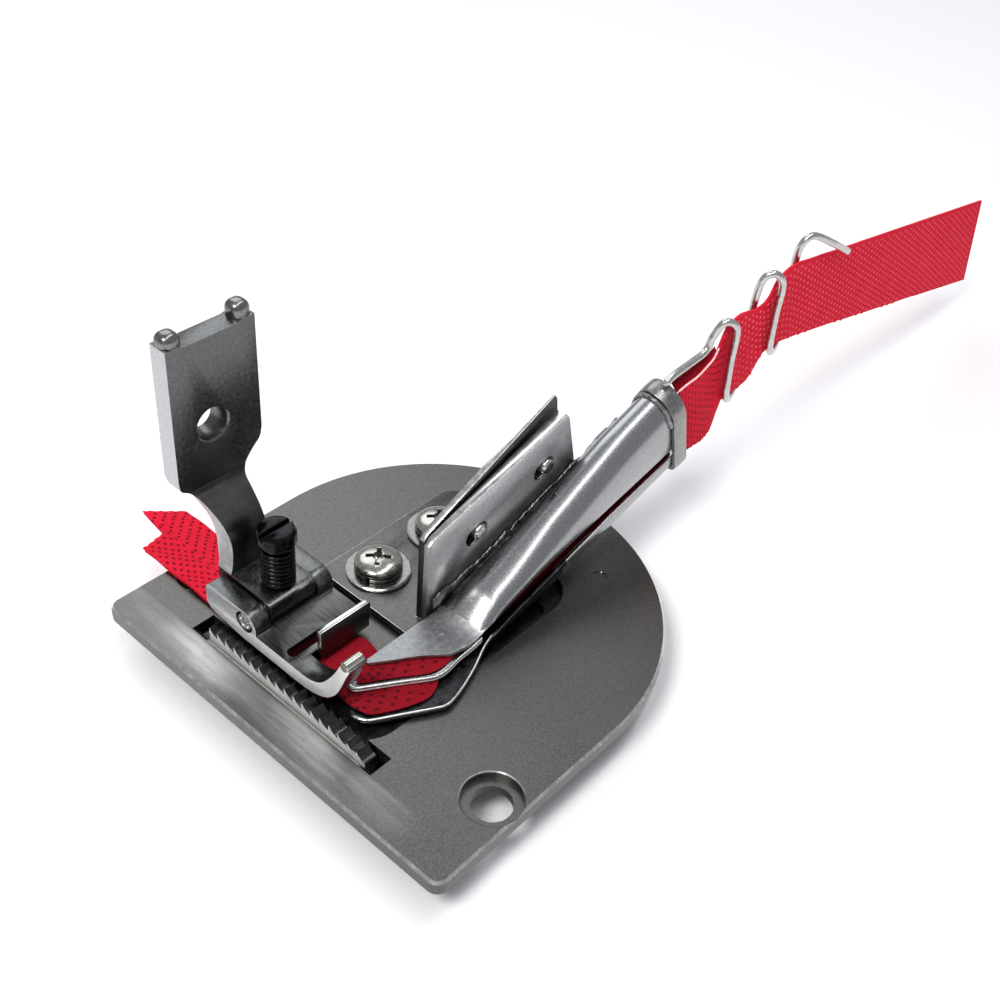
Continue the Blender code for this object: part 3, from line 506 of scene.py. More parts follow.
def camera():
    data = bpy.data.cameras.new("camera")
    data.lens, data.sensor_width, data.clip_start, data.clip_end = 46.859, 36.0, 0.005, 20
    obj = placed("camera", data)
    right, down = Vector((0.66861, -0.74033, 0.06983)), Vector((-0.44297, -0.47196, -0.76225))
    look = right.cross(down)
    turn = Matrix((right, -down, -look)).transposed().to_4x4()
    obj.matrix_world = Matrix.Translation(Vector((-95.16, -84.96, 128.86)) * MM) @ turn
    bpy.context.scene.camera = obj


studio()
camera()
lamp("key", (-0.30, -0.04, 0.44), (0.02, 0.0, 0.0), 0.16, 1.75, (1.0, 0.99, 0.97))
lamp("overhead", (0.06, -0.10, 0.5), (0.03, -0.02, 0.0), 0.08, 0.9, (1.0, 1.0, 1.0), 0.6)
lamp("fill", (0.25, 0.45, 0.5), (0.02, 0.0, 0.0), 0.5, 1.2, (0.95, 0.97, 1.0))
bpy.context.scene.view_settings.view_transform = "Standard"
print("studio ready")

# %% [markdown]
# ## Needle plate
# A D outline with a fine polished chamfer painted lighter as highlight, two counterbored holes, the feed
# slot and a shallow pocket with a deeper blind recess in its floor; the pocket floor and slot walls are
# painted dark as shade.

# %%
def needle_plate():
    def outline(inset):
        r, left, corner = 31.0 - inset, -32.5 + inset, 1.6 - inset
        return (arc(0, 0, r, -90, 90, 128) + arc(left + corner, r - corner, corner, 90, 180, 8)
                + arc(left + corner, -r + corner, corner, 180, 270, 8))
    levels = ((0.0, 0.2), (0.2, 0.0), (1.95, 0.0), (2.3, 0.33))
    plate = solid("needle_plate_body", skin([[(x, y, z) for x, y in outline(i)] for z, i in levels]),
                  PLATE, EDGE_HIGHLIGHT, RECESS_SHADE)
    for side in (-1, 1):
        profile = [(0, -1), (2.65, -1), (2.65, 1.2), (3.95, 1.2), (3.95, 2.15), (4.12, 2.31), (4.12, 4),
                   (0, 4)]
        cut(plate, lathe(profile, (-19.1, side * 27.0, 0), 64))
    cut(plate, prism(box(-26.5, -23.5, -14.4, 19.6), -1, 4))
    levels = ((1.8, -26.51), (2.6, -27.41))
    cut(plate, skin([[(x, y, z) for x, y in box(left, -24.0, -14.4, 19.6)] for z, left in levels]))
    cut(plate, prism(obround(-20, 10.5, -6.0, 5.5, 24), 1.4, 4))
    cut(plate, prism(obround(-8, 9, -9.0, 1.6, 16), 0.35, 4))
    groove = prism(arc(0, 0, 1.15, -90, 90, 12) + [(-7.0, 0.9), (-7.0, -0.9)], 2.12, 4)
    cut(plate, moved(groove, Matrix.Translation((20.1, -11.8, 0)), turned(10, "Z")))
    for x in SCREW_XS:
        cut(plate, lathe(bore(1.8, -1, 4), (x, SCREW_Y, 0), 32))
    cut(plate, lathe(bore(0.9, -1, 4), (-18.9, 4.7, 0), 32))
    soften(plate, 0.12, 1, 50)
    settle(plate, "plate", "needle_plate", slot="plate_satin")
    # Painted highlight on the chamfers and on the ramp at the slot's left.
    paint(plate, 1, lambda at, n: 0.2 < abs(n.z) < 0.97 and at.z > 1.9)
    # Painted shade on the pocket floor and the recess in it.
    paint(plate, 2, lambda at, n: at.z < 2.0 and -25.6 < at.x < 16.1 and -11.6 < at.y < -0.4)
    # Painted shade on the walls of the feed slot.
    paint(plate, 2, lambda at, n: abs(n.z) < 0.2 and -27.0 < at.x < -23.2 and -15 < at.y < 20)


needle_plate()

# %% [markdown]
# ## Feed dog
# Geometry Nodes set one saw tooth many times along the bar.

# %%
def node_tree(name, **inputs):
    """Empty geometry tree with its two ends and a short way to add nodes."""
    tree = bpy.data.node_groups.new(name, "GeometryNodeTree")
    for key, kind in {"Geometry": "NodeSocketGeometry", **inputs}.items():
        tree.interface.new_socket(key, in_out="INPUT", socket_type=kind)
    tree.interface.new_socket("Geometry", in_out="OUTPUT", socket_type="NodeSocketGeometry")
    ends = tree.nodes.new("NodeGroupInput"), tree.nodes.new("NodeGroupOutput")
    return tree, *ends, lambda kind: tree.nodes.new("GeometryNode" + kind)


def wire_up(tree, *joins):
    for source, output, target, entry in joins:
        tree.links.new(source.outputs[output], target.inputs[entry])


def set_input(step, name, value):
    """Give a modifier's input its value, by the socket's identifier."""
    sockets = [s for s in step.node_group.interface.items_tree if s.name == name and s.in_out == "INPUT"]
    step[sockets[0].identifier] = value


def repeat_tree(name, look):
    """Puts the instance mesh on every point of the piece, turned by its `facing` and `turn` marks."""
    tree, source, result, add = node_tree(name, Piece="NodeSocketObject")
    points, put, real = add("MeshToPoints"), add("InstanceOnPoints"), add("RealizeInstances")
    item, cover = add("ObjectInfo"), add("SetMaterial")
    aim, along_mark = (tree.nodes.new("FunctionNodeAlignRotationToVector") for _ in range(2))
    facing, turn, size = (add("InputNamedAttribute") for _ in range(3))
    for node, mark in ((facing, "facing"), (turn, "turn"), (size, "size")):
        node.data_type = "FLOAT_VECTOR"
        put_in(node, Name=mark)
    aim.axis, along_mark.axis, along_mark.pivot_axis = "Z", "X", "Z"
    put_in(cover, Material=look)
    wire_up(tree, (source, "Geometry", points, "Mesh"), (source, "Piece", item, "Object"),
            (points, "Points", put, "Points"), (item, "Geometry", put, "Instance"),
            (facing, "Attribute", aim, "Vector"), (aim, "Rotation", along_mark, "Rotation"),
            (turn, "Attribute", along_mark, "Vector"), (along_mark, "Rotation", put, "Rotation"),
            (size, "Attribute", put, "Scale"), (put, "Instances", real, "Geometry"),
            (real, "Geometry", cover, "Geometry"), (cover, "Geometry", result, "Geometry"))
    return tree


def repeated(name, unit, places, look):
    """places: (point mm, facing, turn, size) for each copy of the unit mesh."""
    mesh = bpy.data.meshes.new(name)
    mesh.from_pydata([Vector(p[0]) * MM for p in places], [], [])
    for key, index in (("facing", 1), ("turn", 2), ("size", 3)):
        mark = mesh.attributes.new(key, "FLOAT_VECTOR", "POINT")
        for i, p in enumerate(places):
            mark.data[i].vector = p[index]
    obj = placed(name, mesh)
    step = obj.modifiers.new("Repeat", "NODES")
    step.node_group = repeat_tree(name + "_tree", look)
    set_input(step, "Piece", unit)
    unit.hide_render = True
    spare.append(unit)
    return obj


def feed_dog():
    pitch, count, start = 1.65, 18, -12.3
    profile = [(0.0, -0.15), (1.62, -0.15), (1.5, 0.96), (1.42, 0.98), (1.2, 0.64), (0.92, 0.38),
               (0.6, 0.17), (0.25, 0.0), (0.0, -0.02)]
    tooth = solid("tooth_unit", prism(profile, -1.0, 1.0, "X"), TOOTH)
    bake(tooth)
    places = []
    for i in range(count):
        low = max(0.0, 1 - i / 3) * 0.7
        places.append(((DOG_X, start + i * pitch, 2.35 - low), (0, 0, 1), (1, 0, 0), (1, 1, 1)))
    teeth = repeated("feed_teeth", tooth, places, TOOTH)
    settle(teeth, "feed")
    teeth.data.materials.append(TOOTH_SIDE_REFLECTION)
    # Painted reflection on the teeth's side faces.
    paint(teeth, 1, lambda at, n: abs(n.x) > 0.8)
    bar = solid("feed_bar", prism([(-12.3, -4.9), (17.4, -4.9), (17.4, 2.2), (-10.4, 2.2), (-12.3, 1.4)],
                                  -25.95, -24.05, "X"), TOOTH)
    cut(bar, prism(box(-29.2, -20.8, -13.8, 18.9), -5.0, -3.2), "UNION")
    for x, y in ((-27.5, -9), (-22.5, -9), (-27.5, 14), (-22.5, 14)):
        cut(bar, lathe(bore(1.6, -7, -2), (x, y, 0), 32))
    soften(bar, 0.15, 2, 50)
    settle(bar, "feed", "feed_dog", slot="polished_steel")
    bar.data.materials.append(TOOTH_SIDE_REFLECTION)
    # Painted reflection on the bar's left face above the base.
    paint(bar, 1, lambda at, n: n.x < -0.8 and at.z > -3.2)


feed_dog()

# %% [markdown]
# ## Bracket, screws and washers

# %%
def bracket():
    outline = [(-8.3, -1.6), (18.6, -1.6)] + arc(15.6, 12.6, 3.0, 0, 90, 10) + [(-8.3, 15.6)]
    base = solid("bracket_sheet_body", prism(outline, 2.6, 3.5), BRACKET, EDGE_HIGHLIGHT)
    wall = prism([(-5.0, 2.65), (18.0, 2.65), (23.6, 13.8), (21.4, 26.6), (20.8, 27.4), (-4.4, 18.2),
                  (-5.0, 17.4)], -1.0, -0.1, "Y")
    pivot = Vector((-5.0, -1.0, 0))
    swing = Matrix.Translation(pivot) @ turned(2.4, "Z") @ Matrix.Translation(-pivot)
    cut(base, moved(wall, swing), "UNION")
    for x in SCREW_XS:
        cut(base, lathe(bore(1.8, 1, 5), (x, SCREW_Y, 0), 32))
    for x, z in STUDS:
        cut(base, lathe(bore(1.45, -4, 5), (x, 0, z), 32, "Y"))
    soften(base, 0.1, 2, 50)
    settle(base, "plate", "bracket", slot="sheet_steel")
    # Painted highlight on the top chamfers and on the top of the wall.
    paint(base, 1, lambda at, n: 0.2 < abs(n.z) < 0.95 and 3.2 < at.z < 3.7 or at.z > 14 and n.z > 0.2)


def ring_at(x, profile, angle, lift=0.0):
    """Points of a washer's section, swung round a bracket screw."""
    return [(x + r * math.cos(angle), SCREW_Y + r * math.sin(angle), z + lift) for r, z in profile]


def washers(i, x):
    flat = [(1.8, 3.56), (4.45, 3.56), (4.6, 3.66), (4.6, 3.92), (4.42, 4.05), (1.95, 4.05), (1.8, 3.95)]
    angles = [math.tau * k / 72 for k in range(72)]
    rings = [[ring_at(x, [step], a)[0] for a in angles] for step in flat]
    washer = solid(f"flat_washer_{i}_turned", skin(rings, "loop"), WASHER, BRIGHT_STEEL_AND_HIGHLIGHT)
    settle(washer, "plate", f"flat_washer_{i}", slot="polished_steel")
    paint(washer, 1, lambda p, n: abs(n.z) < 0.9)
    section = [(1.8, 4.1), (3.4, 4.1), (3.4, 4.62), (1.8, 4.62)]
    split = [ring_at(x, section, math.radians(205 + 350 * k / 70), 0.10 * k / 70) for k in range(71)]
    lock = solid(f"lock_washer_{i}_split", skin(split), WASHER)
    soften(lock, 0.06, 1, 40)
    settle(lock, "plate", f"lock_washer_{i}", slot="sheet_steel")


def pan_screw(i, x):
    at = (x, SCREW_Y, 0)
    angles = [math.radians(d) for d in (0, 12, 26, 42, 58, 74)]
    profile = [(0, -0.6), (1.1, -0.6), (1.5, -0.2), (1.5, 4.78), (3.2, 4.78), (3.35, 4.93)]
    profile += [(3.35 * math.cos(a), 5.25 + 1.08 * math.sin(a)) for a in angles] + [(0, 6.36)]
    screw = solid(f"pan_screw_{i}", lathe(profile, at, 64), NICKEL, RECESS_SHADE)
    for degrees in (40, 130):
        arm = prism(box(-1.8, 1.8, -0.34, 0.34), 5.45, 9)
        cut(screw, moved(arm, Matrix.Translation(at), turned(degrees, "Z")))
    cut(screw, lathe([(0, 5.1), (0.85, 5.6), (0.85, 9), (0, 9)], at, 16))
    soften(screw, 0.07, 2, 45)
    settle(screw, "plate", f"bracket_screw_{i}", slot="nickel")
    # Painted shade on the floor of the screw's cross slot.
    paint(screw, 1, lambda p, n: (n.z > 0.9 and 5.0 < p.z < 5.7 and abs(p.x - x) < 1.9
                                  and abs(p.y - SCREW_Y) < 1.9))


bracket()
for number, screw_x in enumerate(SCREW_XS, 1):
    washers(number, screw_x)
    pan_screw(number, screw_x)

# %% [markdown]
# ## Scroll
# The front sheet has two oval slots for its studs. The upper shell starts as a pointed flat lip
# and rolls into a hat section, and the lower shell is a gutter under it. A tongue lies between.

# %%
def flange():
    outline = [(-5.3, 4.0), (3.0, 4.0), (24.6, 13.4), (21.6, 24.4), (21.0, 25.2), (-4.6, 18.1), (-5.3, 17.4)]
    blank = prism(outline, -2.2, -1.3, "Y")
    for vert in blank.verts:
        if vert.co.y > -2.0:
            vert.co.y = -1.3 + 0.03 * (vert.co.x + 5.3)
    sheet = solid("flange_sheet_body", blank, FLANGE, EDGE_HIGHLIGHT)
    for x, z in STUDS:
        hole = prism(obround(-1.2, 0.15, 0, 1.4, 16), -4, 1, "Y")
        cut(sheet, moved(hole, Matrix.Translation((x, 0, z)), Matrix.Rotation(-LEAN, 4, "Y")))
    soften(sheet, 0.09, 2, 45)
    settle(sheet, "scroll", "scroll_flange", slot="sheet_steel")
    # Painted highlight on the upper edges of the sheet.
    paint(sheet, 1, lambda p, n: abs(n.y) < 0.9 and n.z > 0.2)
    for i, ((x, z), back) in enumerate(zip(STUDS, (0.894, 1.447)), 1):
        profile = [(0, -2.75), (0.85, -2.7), (1.08, -2.5), (1.15, -2.3), (1.15, back), (2.3, back),
                   (2.4, back + 0.1), (2.4, back + 0.6), (1.5, back + 1.3), (0, back + 1.3)]
        stud = solid(f"stud_{i}", lathe(profile, (x, 0, z), 40, "Y"), BRIGHT_STEEL_AND_HIGHLIGHT)
        settle(stud, "plate", f"flange_stud_{i}", slot="polished_steel")


MOUTH_Z, BACK_Y = 5.55, -2.8
SHEET = 0.5
CREST = [(-6.0, 6.9), (-4.0, 7.7), (3.7, 10.2), (15.4, 15.0), (27.6, 20.2), (TUBE_END, 24.0)]
TOP_RIM = [(-5.6, 5.2), (-3.0, 6.1), (9.1, 9.5), (22.0, 11.8), (TUBE_END, 14.8)]
BACK = [(-5.6, 5.6), (3.7, 7.4), (15.4, 10.5), (27.6, 14.5), (TUBE_END, 17.5)]
FRONT = [(-17.2, -3.2), (-14.6, -5.0), (-11.4, -7.0), (-8.4, -9.5), (-5.6, -10.2), (3.0, -9.8),
         (TUBE_END, -9.0)]
FLOOR = [(-23.0, 2.85), (2.0, 2.85), (9.0, 4.0), (17.0, 5.9), (26.0, 8.0), (TUBE_END, 10.9)]
LIP = [(-6.0, 3.5), (-1.7, 3.9), (9.0, 6.6), (22.0, 10.1), (TUBE_END, 13.4)]
LOW_FRONT = [(-22.9, -7.4), (-22.0, -8.5), (-13.6, -13.5), (-12.2, -13.6), (-9.6, -13.0), (-1.7, -10.2),
             (3.0, -9.9), (TUBE_END, -9.0)]
LOW_BACK = [(-23.0, -6.1), (-17.0, BACK_Y), (2.0, BACK_Y), (TUBE_END, BACK_Y)]


def lean(x):
    """Slope of the sections: upright at the mouth, square to the tube further up."""
    return math.tan(LEAN) * min(max(x / 20.0, 0.0), 1.0)


def rolled(x, flat, shaped):
    """Section that passes from the flat mouth to the rolled tube."""
    share = min(max((x + 6.0) / 7.0, 0.0), 1.0)
    share = share * share * (3 - 2 * share)
    slope, centre = lean(x), (lookup(CREST, x) + lookup(TOP_RIM, x)) / 2
    made = []
    for (y0, z0), (y1, z1) in zip(flat, shaped):
        y, z = y0 + (y1 - y0) * share, z0 + (z1 - z0) * share
        made.append((x - slope * (z - centre), y, z))
    return made


def hat(x, grow=0.0):
    """Crown of the tube's section, from its back wall over the crest to the front."""
    crest, front, back = eased(CREST, x) + grow, eased(FRONT, x, 0.6) - grow, BACK_Y + grow
    back_z = min(eased(BACK, x), crest - 0.05)
    middle = back + (front - back) * 0.45
    roll = min(max(crest - grow - eased(TOP_RIM, x), 0.05) * 0.9, 3.6) + grow
    points = []
    for i in range(12):
        a = math.radians(90 * i / 11)
        points.append((middle + (back - middle) * math.cos(a), back_z + (crest - back_z) * math.sin(a)))
    for i in range(1, 13):
        a = math.radians(90 * i / 12)
        points.append((middle + (front - middle) * math.sin(a), crest - roll * (1 - math.cos(a))))
    return points


def upper_section(x):
    shaped = hat(x)
    front, low = shaped[-1]
    foot = min(eased(TOP_RIM, x), low - 0.1)
    shaped += [(front, low + (foot - low) / 2), (front, foot)]
    depth, count = lookup(FRONT, x) - BACK_Y, len(shaped) - 1
    return rolled(x, [(BACK_Y + depth * i / count, MOUTH_Z) for i in range(count + 1)], shaped)


def lower_section(x):
    floor, lip = eased(FLOOR, x, 1.0), eased(LIP, x, 1.0)
    back, front = lookup(LOW_BACK, x), lookup(LOW_FRONT, x)
    shaped = [(back + (front + 1.2 - back) * k / 4, floor) for k in range(5)]
    for i in range(1, 7):
        a = math.radians(90 * i / 6)
        rise = min(1.2, (lip - floor) * 0.6) * (1 - math.cos(a))
        shaped.append((front + 1.2 * (1 - math.sin(a)), floor + rise))
    shaped += [(front, (shaped[-1][1] + lip) / 2), (front, lip)]
    count = len(shaped) - 1
    return rolled(x, [(back + (front - back) * i / count, floor) for i in range(count + 1)], shaped)


def shells():
    """The two rolled sheets, each drawn as sections along the tube, and the tongue between them."""
    near, far = stations(-17.0, -6.0, 14), stations(-5.4, TUBE_END, 75)
    low_near, low_far = stations(-22.9, -6.0, 22), stations(-5.2, TUBE_END, 60)
    for name, section, places, looks, index, end in (
            ("upper", upper_section, near + far, (CHROME, SOLDER, FROST), 2, -3.2),
            ("lower", lower_section, low_near + low_far, (CHROME, GUTTER_SHADE), 1, 14.0)):
        shell = solid(f"{name}_shell_sheet", skin([section(x) for x in places], "open", False), *looks)
        sheet_of(shell, SHEET)
        soften(shell, 0.12, 2, 50)
        settle(shell, "scroll", f"scroll_{name}_shell", slot="polished_steel")
        # Upper shell: the mouth end gets the filed lip. Lower shell: the mouth end under the upper shell
        # gets painted shade.
        paint(shell, index, lambda p, n: p.x < end)
    outline = [(-20.3, -3.5), (-20.2, -4.4), (-11.5, -10.1), (-10.0, -10.3), (-7.5, -9.9), (-3.0, -9.2),
               (-1.4, -7.0), (-1.4, -4.4), (-3.0, -3.1), (-16.5, -2.9)]
    tongue = solid("tongue_sheet", prism(outline, 4.0, 4.4), CHROME)
    soften(tongue, 0.1, 2, 50)
    settle(tongue, "scroll", "scroll_tongue", slot="polished_steel")


def rims():
    """Rolled edges along the two open lips at the mouth."""
    low = [(-22.7, -6.9, 2.95), (-22.3, -8.0, 2.95), (-21.4, -8.95, 2.95), (-17.6, -11.2, 2.95),
           (-14.4, -13.1, 2.95), (-13.3, -13.6, 2.95), (-12.1, -13.65, 2.95), (-9.4, -13.0, 2.98),
           (-6.0, -11.85, 3.2), (-3.2, -10.7, 3.7), (-1.2, -10.2, 4.1)]
    high = [(-20.35, -3.6, 4.25), (-20.3, -4.3, 4.25), (-19.5, -5.0, 4.25), (-15.8, -7.4, 4.25),
            (-12.3, -9.75, 4.25), (-11.2, -10.25, 4.25), (-9.8, -10.4, 4.25), (-7.2, -10.1, 4.35),
            (-5.0, -10.2, 4.7), (-3.4, -10.3, 5.2)]
    for name, route in (("lower_rim", low), ("tongue_rim", high)):
        for part, drop in (("top", 0.22), ("bottom", -0.24)):
            # Each rim is two rods: the top rod gets painted highlight, the lower rim's bottom rod gets
            # painted shade.
            look = GUTTER_SHADE if (name, part) == ("lower_rim", "bottom") else BRIGHT_STEEL_AND_HIGHLIGHT
            path = [(x, y, z + drop) for x, y, z in smooth_path(route, 6)]
            rim = solid(f"{name}_{part}", sweep(path, 0.2), look)
            settle(rim, "scroll", slot="polished_steel")


def collar():
    def section(x, grow):
        points = hat(x, grow)
        front, back, floor = points[-1][0], points[0][0], eased(FLOOR, x, 1.0) - grow
        points += [(front, floor + 1.3), (front + 0.15, floor + 0.7), (front + 0.5, floor + 0.25),
                   (front + 1.3, floor), (back - 0.6, floor), (back - 0.15, floor + 0.15),
                   (back, floor + 0.6)]
        slope, centre = lean(x), (lookup(CREST, x) + lookup(TOP_RIM, x)) / 2
        return [(x - slope * (z - centre), y, z) for y, z in points]
    hoop = ((36.7, 0.3), (36.7, 0.78), (38.0, 0.85), (39.5, 0.85), (39.5, 0.3), (38.0, 0.3))
    rings = [section(x, grow) for x, grow in hoop]
    band = solid("collar_band_body", skin(rings, "loop"), COLLAR, RECESS_SHADE)
    soften(band, 0.1, 2, 40)
    settle(band, "scroll", "tube_collar", slot="sheet_steel")
    random.seed(11)
    fillet = []
    for y, z in hat(36.3, 0.3):
        shift = math.tan(LEAN) * (z - (lookup(CREST, 36.3) + lookup(TOP_RIM, 36.3)) / 2)
        fillet.append((36.35 - shift + random.uniform(-0.12, 0.12), y, z + random.uniform(-0.05, 0.05)))
    bead = solid("collar_solder", sweep(smooth_path(fillet, 3), 0.42, 10), SOLDER)
    settle(bead, "scroll", angle=80)


def solder_runs():
    """Low uneven fillet of solder along the tube where it meets the flange."""
    random.seed(7)
    rings, size, drop = [], 0.8, 0.0
    for k in range(170):
        x = -4.5 + 38.0 * k / 169
        size = min(max(size + random.uniform(-0.1, 0.1), 0.7), 1.2)
        drop = min(max(drop + random.uniform(-0.15, 0.15), -0.5), 0.4)
        z = min(eased(BACK, x) + 1.3, eased(CREST, x) - 0.6) + drop
        ring = []
        for j in range(10):
            a = math.tau * j / 10
            r = size * random.uniform(0.9, 1.1)
            back = x - lean(x) * (z - 12) * 0.5
            ring.append((back, -2.5 + 0.42 * r * math.cos(a), z + 1.5 * r * math.sin(a)))
        rings.append(ring)
    run = solid("solder_run", skin(rings), SOLDER)
    step = run.modifiers.new("Soft", "SUBSURF")
    step.levels = step.render_levels = 1
    settle(run, "scroll", angle=80)


flange()
shells()
rims()
collar()
solder_runs()

# %% [markdown]
# ## Wire guide

# %%
def wire_guide():
    front, back = -9.15, -6.85
    route = [(37.0, -6.9, 25.3), (38.6, -6.9, 25.75), (42.5, -6.9, 26.0), (46.2, -6.9, 26.4),
             (47.3, -7.1, 28.7), (48.3, -8.0, 31.0), (49.9, front, 29.8), (50.2, front, 24.0),
             (50.8, front, 18.4), (53.2, -8.4, 15.5), (57.4, back, 15.6), (57.6, back, 22.0),
             (58.3, back, 32.2), (59.4, -8.0, 34.6), (60.9, front, 33.0), (61.0, front, 27.6),
             (61.4, front, 22.2), (64.0, -8.4, 19.3), (68.2, back, 19.6), (68.2, back, 26.0),
             (68.0, back, 32.6), (67.9, -7.3, 36.0), (69.6, -8.1, 37.2), (74.6, front, 34.6),
             (80.4, front, 31.1)]
    wire = solid("guide_wire_bent", sweep(smooth_path(route, 12), 0.58, 16), WIRE)
    settle(wire, "scroll", "tape_guide_wire", slot="polished_steel")


wire_guide()

# %% [markdown]
# ## Tape
# One strip carries a staggered pattern of pressed dots, set by Geometry Nodes. Where it nears the
# tube its lower edge curls up behind.

# %%
LOW_EDGE = [(44.0, 10.2), (48.2, 9.9), (50.2, 10.6), (50.9, 12.2), (51.4, 16.2), (53.8, 16.2), (56.2, 16.0),
            (58.2, 16.2), (60.0, 17.6), (61.2, 19.4), (62.4, 20.2), (64.0, 20.3), (68.6, 19.5),
            (73.5, 18.4), (83.8, 15.9), (143.0, 1.1)]
HIGH_EDGE = [(39.0, 23.4), (43.0, 24.0), (47.4, 25.2), (48.2, 27.5), (48.9, 30.3), (52.1, 30.8),
             (56.5, 29.8), (59.1, 29.9), (60.6, 30.8), (61.3, 33.0), (64.3, 33.9), (67.3, 33.6),
             (82.4, 30.7), (140.0, 19.8)]


def tape_rows():
    """Lines across the tape. Width that the edges leave no room for curls up behind the lower edge."""
    curl = 0.38
    rows = []
    for t in stations(0.0, 1.0, 190):
        a, b = 42.6 + 99.4 * t ** 1.15, 39.2 + 97.8 * t ** 1.15
        low = Vector((a, TAPE_Y, eased(LOW_EDGE, a, 0.5)))
        high = Vector((b, TAPE_Y, eased(HIGH_EDGE, b, 0.6)))
        wave = Vector((0, 0.10 * math.sin(a * 0.9) * max(0.0, 1 - t * 1.6), 0))
        up, face = (high - low).normalized(), (high - low).length
        width = max(TAPE_WIDTH, face)
        row = []
        for v in stations(0.0, width, 28):
            rest = width - face - v
            if rest > 0:
                bend = min(rest / 1.2, math.pi)
                rise = max(rest - 1.2, 0.0) - curl * math.sin(bend) * 0.4 + 0.1
                row.append(low + Vector((0, curl * (1 - math.cos(bend)) * 1.15, 0)) + up * rise)
            else:
                row.append(low - up * rest + wave)
        rows.append(row)
    return rows


def cloth_sheet(name, rows, thickness, body, *nodes, look=None):
    """A sheet of tape drawn through the rows."""
    sheet = solid(name, skin(rows, "open", False), look or RED)
    area = sum(face.area for face in sheet.data.polygons)
    print("%s: %.0f square mm of cloth" % (name, area / MM ** 2))
    sheet_of(sheet, thickness)
    return settle(sheet, body, *nodes, angle=60, slot="red_tape")


def dot_places(rows, along, across, side):
    """Staggered places on a sheet of rows: a point, the outward normal and the sheet's length direction."""
    middle = len(rows[0]) // 2
    lengths = [0.0]
    for a, b in zip(rows, rows[1:]):
        lengths.append(lengths[-1] + (Vector(b[middle]) - Vector(a[middle])).length)
    width = sum((Vector(b) - Vector(a)).length for a, b in zip(rows[middle], rows[middle][1:]))
    line, u = 0, along * 0.4
    while u < lengths[-1] - along * 0.3:
        i = max(k for k, s in enumerate(lengths[:-1]) if s <= u)
        share = (u - lengths[i]) / (lengths[i + 1] - lengths[i])
        v = across * (0.5 if line % 2 else 1.0)
        while v < width - across * 0.3:
            f = v / width * (len(rows[0]) - 1)
            j, g = int(f), f - int(f)
            p00, p01, p10, p11 = (Vector(rows[i + m][j + n]) for m in (0, 1) for n in (0, 1))
            at = (p00 * (1 - g) + p01 * g) * (1 - share) + (p10 * (1 - g) + p11 * g) * share
            ahead, aside = (p10 - p00).normalized(), (p01 - p00).normalized()
            yield at, ahead.cross(aside).normalized() * side, ahead
            v += across
        u += along / 2
        line += 1


def surface_dots(name, rows, body, look, size, along=1.5, across=1.15, thickness=0.36, keep=None, side=1):
    """Pressed dots in a staggered pattern on one side of a sheet given by rows of points."""
    profile = [(0, -0.1), (1.0, -0.1), (0.85, 0.45), (0.5, 0.85), (0, 1.0)]
    unit = solid(name + "_unit", lathe(profile, (0, 0, 0), 8), look)
    unit.data.shade_smooth()
    places = [(at + normal * thickness / 2, normal, ahead, size)
              for at, normal, ahead in dot_places(rows, along, across, side)
              if keep is None or keep(at, normal)]
    dots = repeated(name, unit, places, look)
    settle(dots, body, angle=80, slot="red_tape")
    print(name, len(places), "dots")


def supply_tape():
    rows = tape_rows()
    tape = cloth_sheet("tape_supply_cloth", rows, 0.36, "scroll", "tape_supply")
    length = sum((Vector(b[20]) - Vector(a[20])).length for a, b in zip(rows, rows[1:])) * MM
    print("tape outside the tube: %.0f x %.1f mm laid flat" % (TAPE_WIDTH, length / MM))
    # Further out the raised dots are painted lighter as highlight, on both faces.
    surface_dots("tape_bumps", rows, "scroll", RED_BUMP_HIGHLIGHT, (0.32, 0.24, 0.13), 2.3, 1.2,
                 keep=lambda at, n: n.y < -0.5 and at.x > 51.5)
    # Near the tube the dots are hollows painted dark as shade.
    surface_dots("tape_presses", rows, "scroll", RED_DOT_SHADE, (0.13, 0.38, 0.05), 1.5, 1.3,
                 keep=lambda at, n: n.y < -0.5 and at.x <= 49.5)
    surface_dots("tape_back_bumps", rows, "scroll", RED_BUMP_HIGHLIGHT, (0.32, 0.24, 0.13), 2.3, 1.2,
                 keep=lambda at, n: n.y > 0.5 and at.x > 70, side=-1)
    edge = [r[-1] for r in rows if r[-1].x < 48.0]
    route = [p + Vector((0, -0.12, 0.05)) for p in edge]
    trim = solid("tape_cut_edge_near_tube", sweep(route, 0.14, 8), CUT_EDGE)
    settle(trim, "scroll", angle=80, slot="red_tape")
    fold = [Vector((0, 0.35 + 0.3 * k, -0.5 + 0.32 * k)) for k in range(5)]
    back = [[p + step * min(1.0, (49.0 - p.x) / 3.0) for step in fold] for p in edge]
    # The turned-back edge is painted in the dark red as shade.
    cloth_sheet("tape_turned_back", back, 0.2, "scroll", look=RED_SHADED)


def tube_tape():
    rows = []
    for x in stations(0.2, 38.8, 60):
        z0, z1 = lookup(FLOOR, x) + 0.75, lookup(TOP_RIM, x) + 0.3 + 0.08 * x
        half = lean(x) * (z1 - z0) / 2
        row = [(x + half - 2 * half * k / 8, TAPE_Y, z0 + (z1 - z0) * k / 8) for k in range(9)]
        rows.append([Vector(p) for p in row])
    # Tape inside the tube is painted in the dark red as shade.
    cloth_sheet("tape_in_tube_cloth", rows, 0.4, "scroll", "tape_in_tube", look=RED_SHADED)
    # Its dots are painted dark as shade in the hollows.
    surface_dots("tube_tape_dots", rows, "scroll", RED_DOT_SHADE, (0.45, 0.20, 0.06), thickness=0.4)


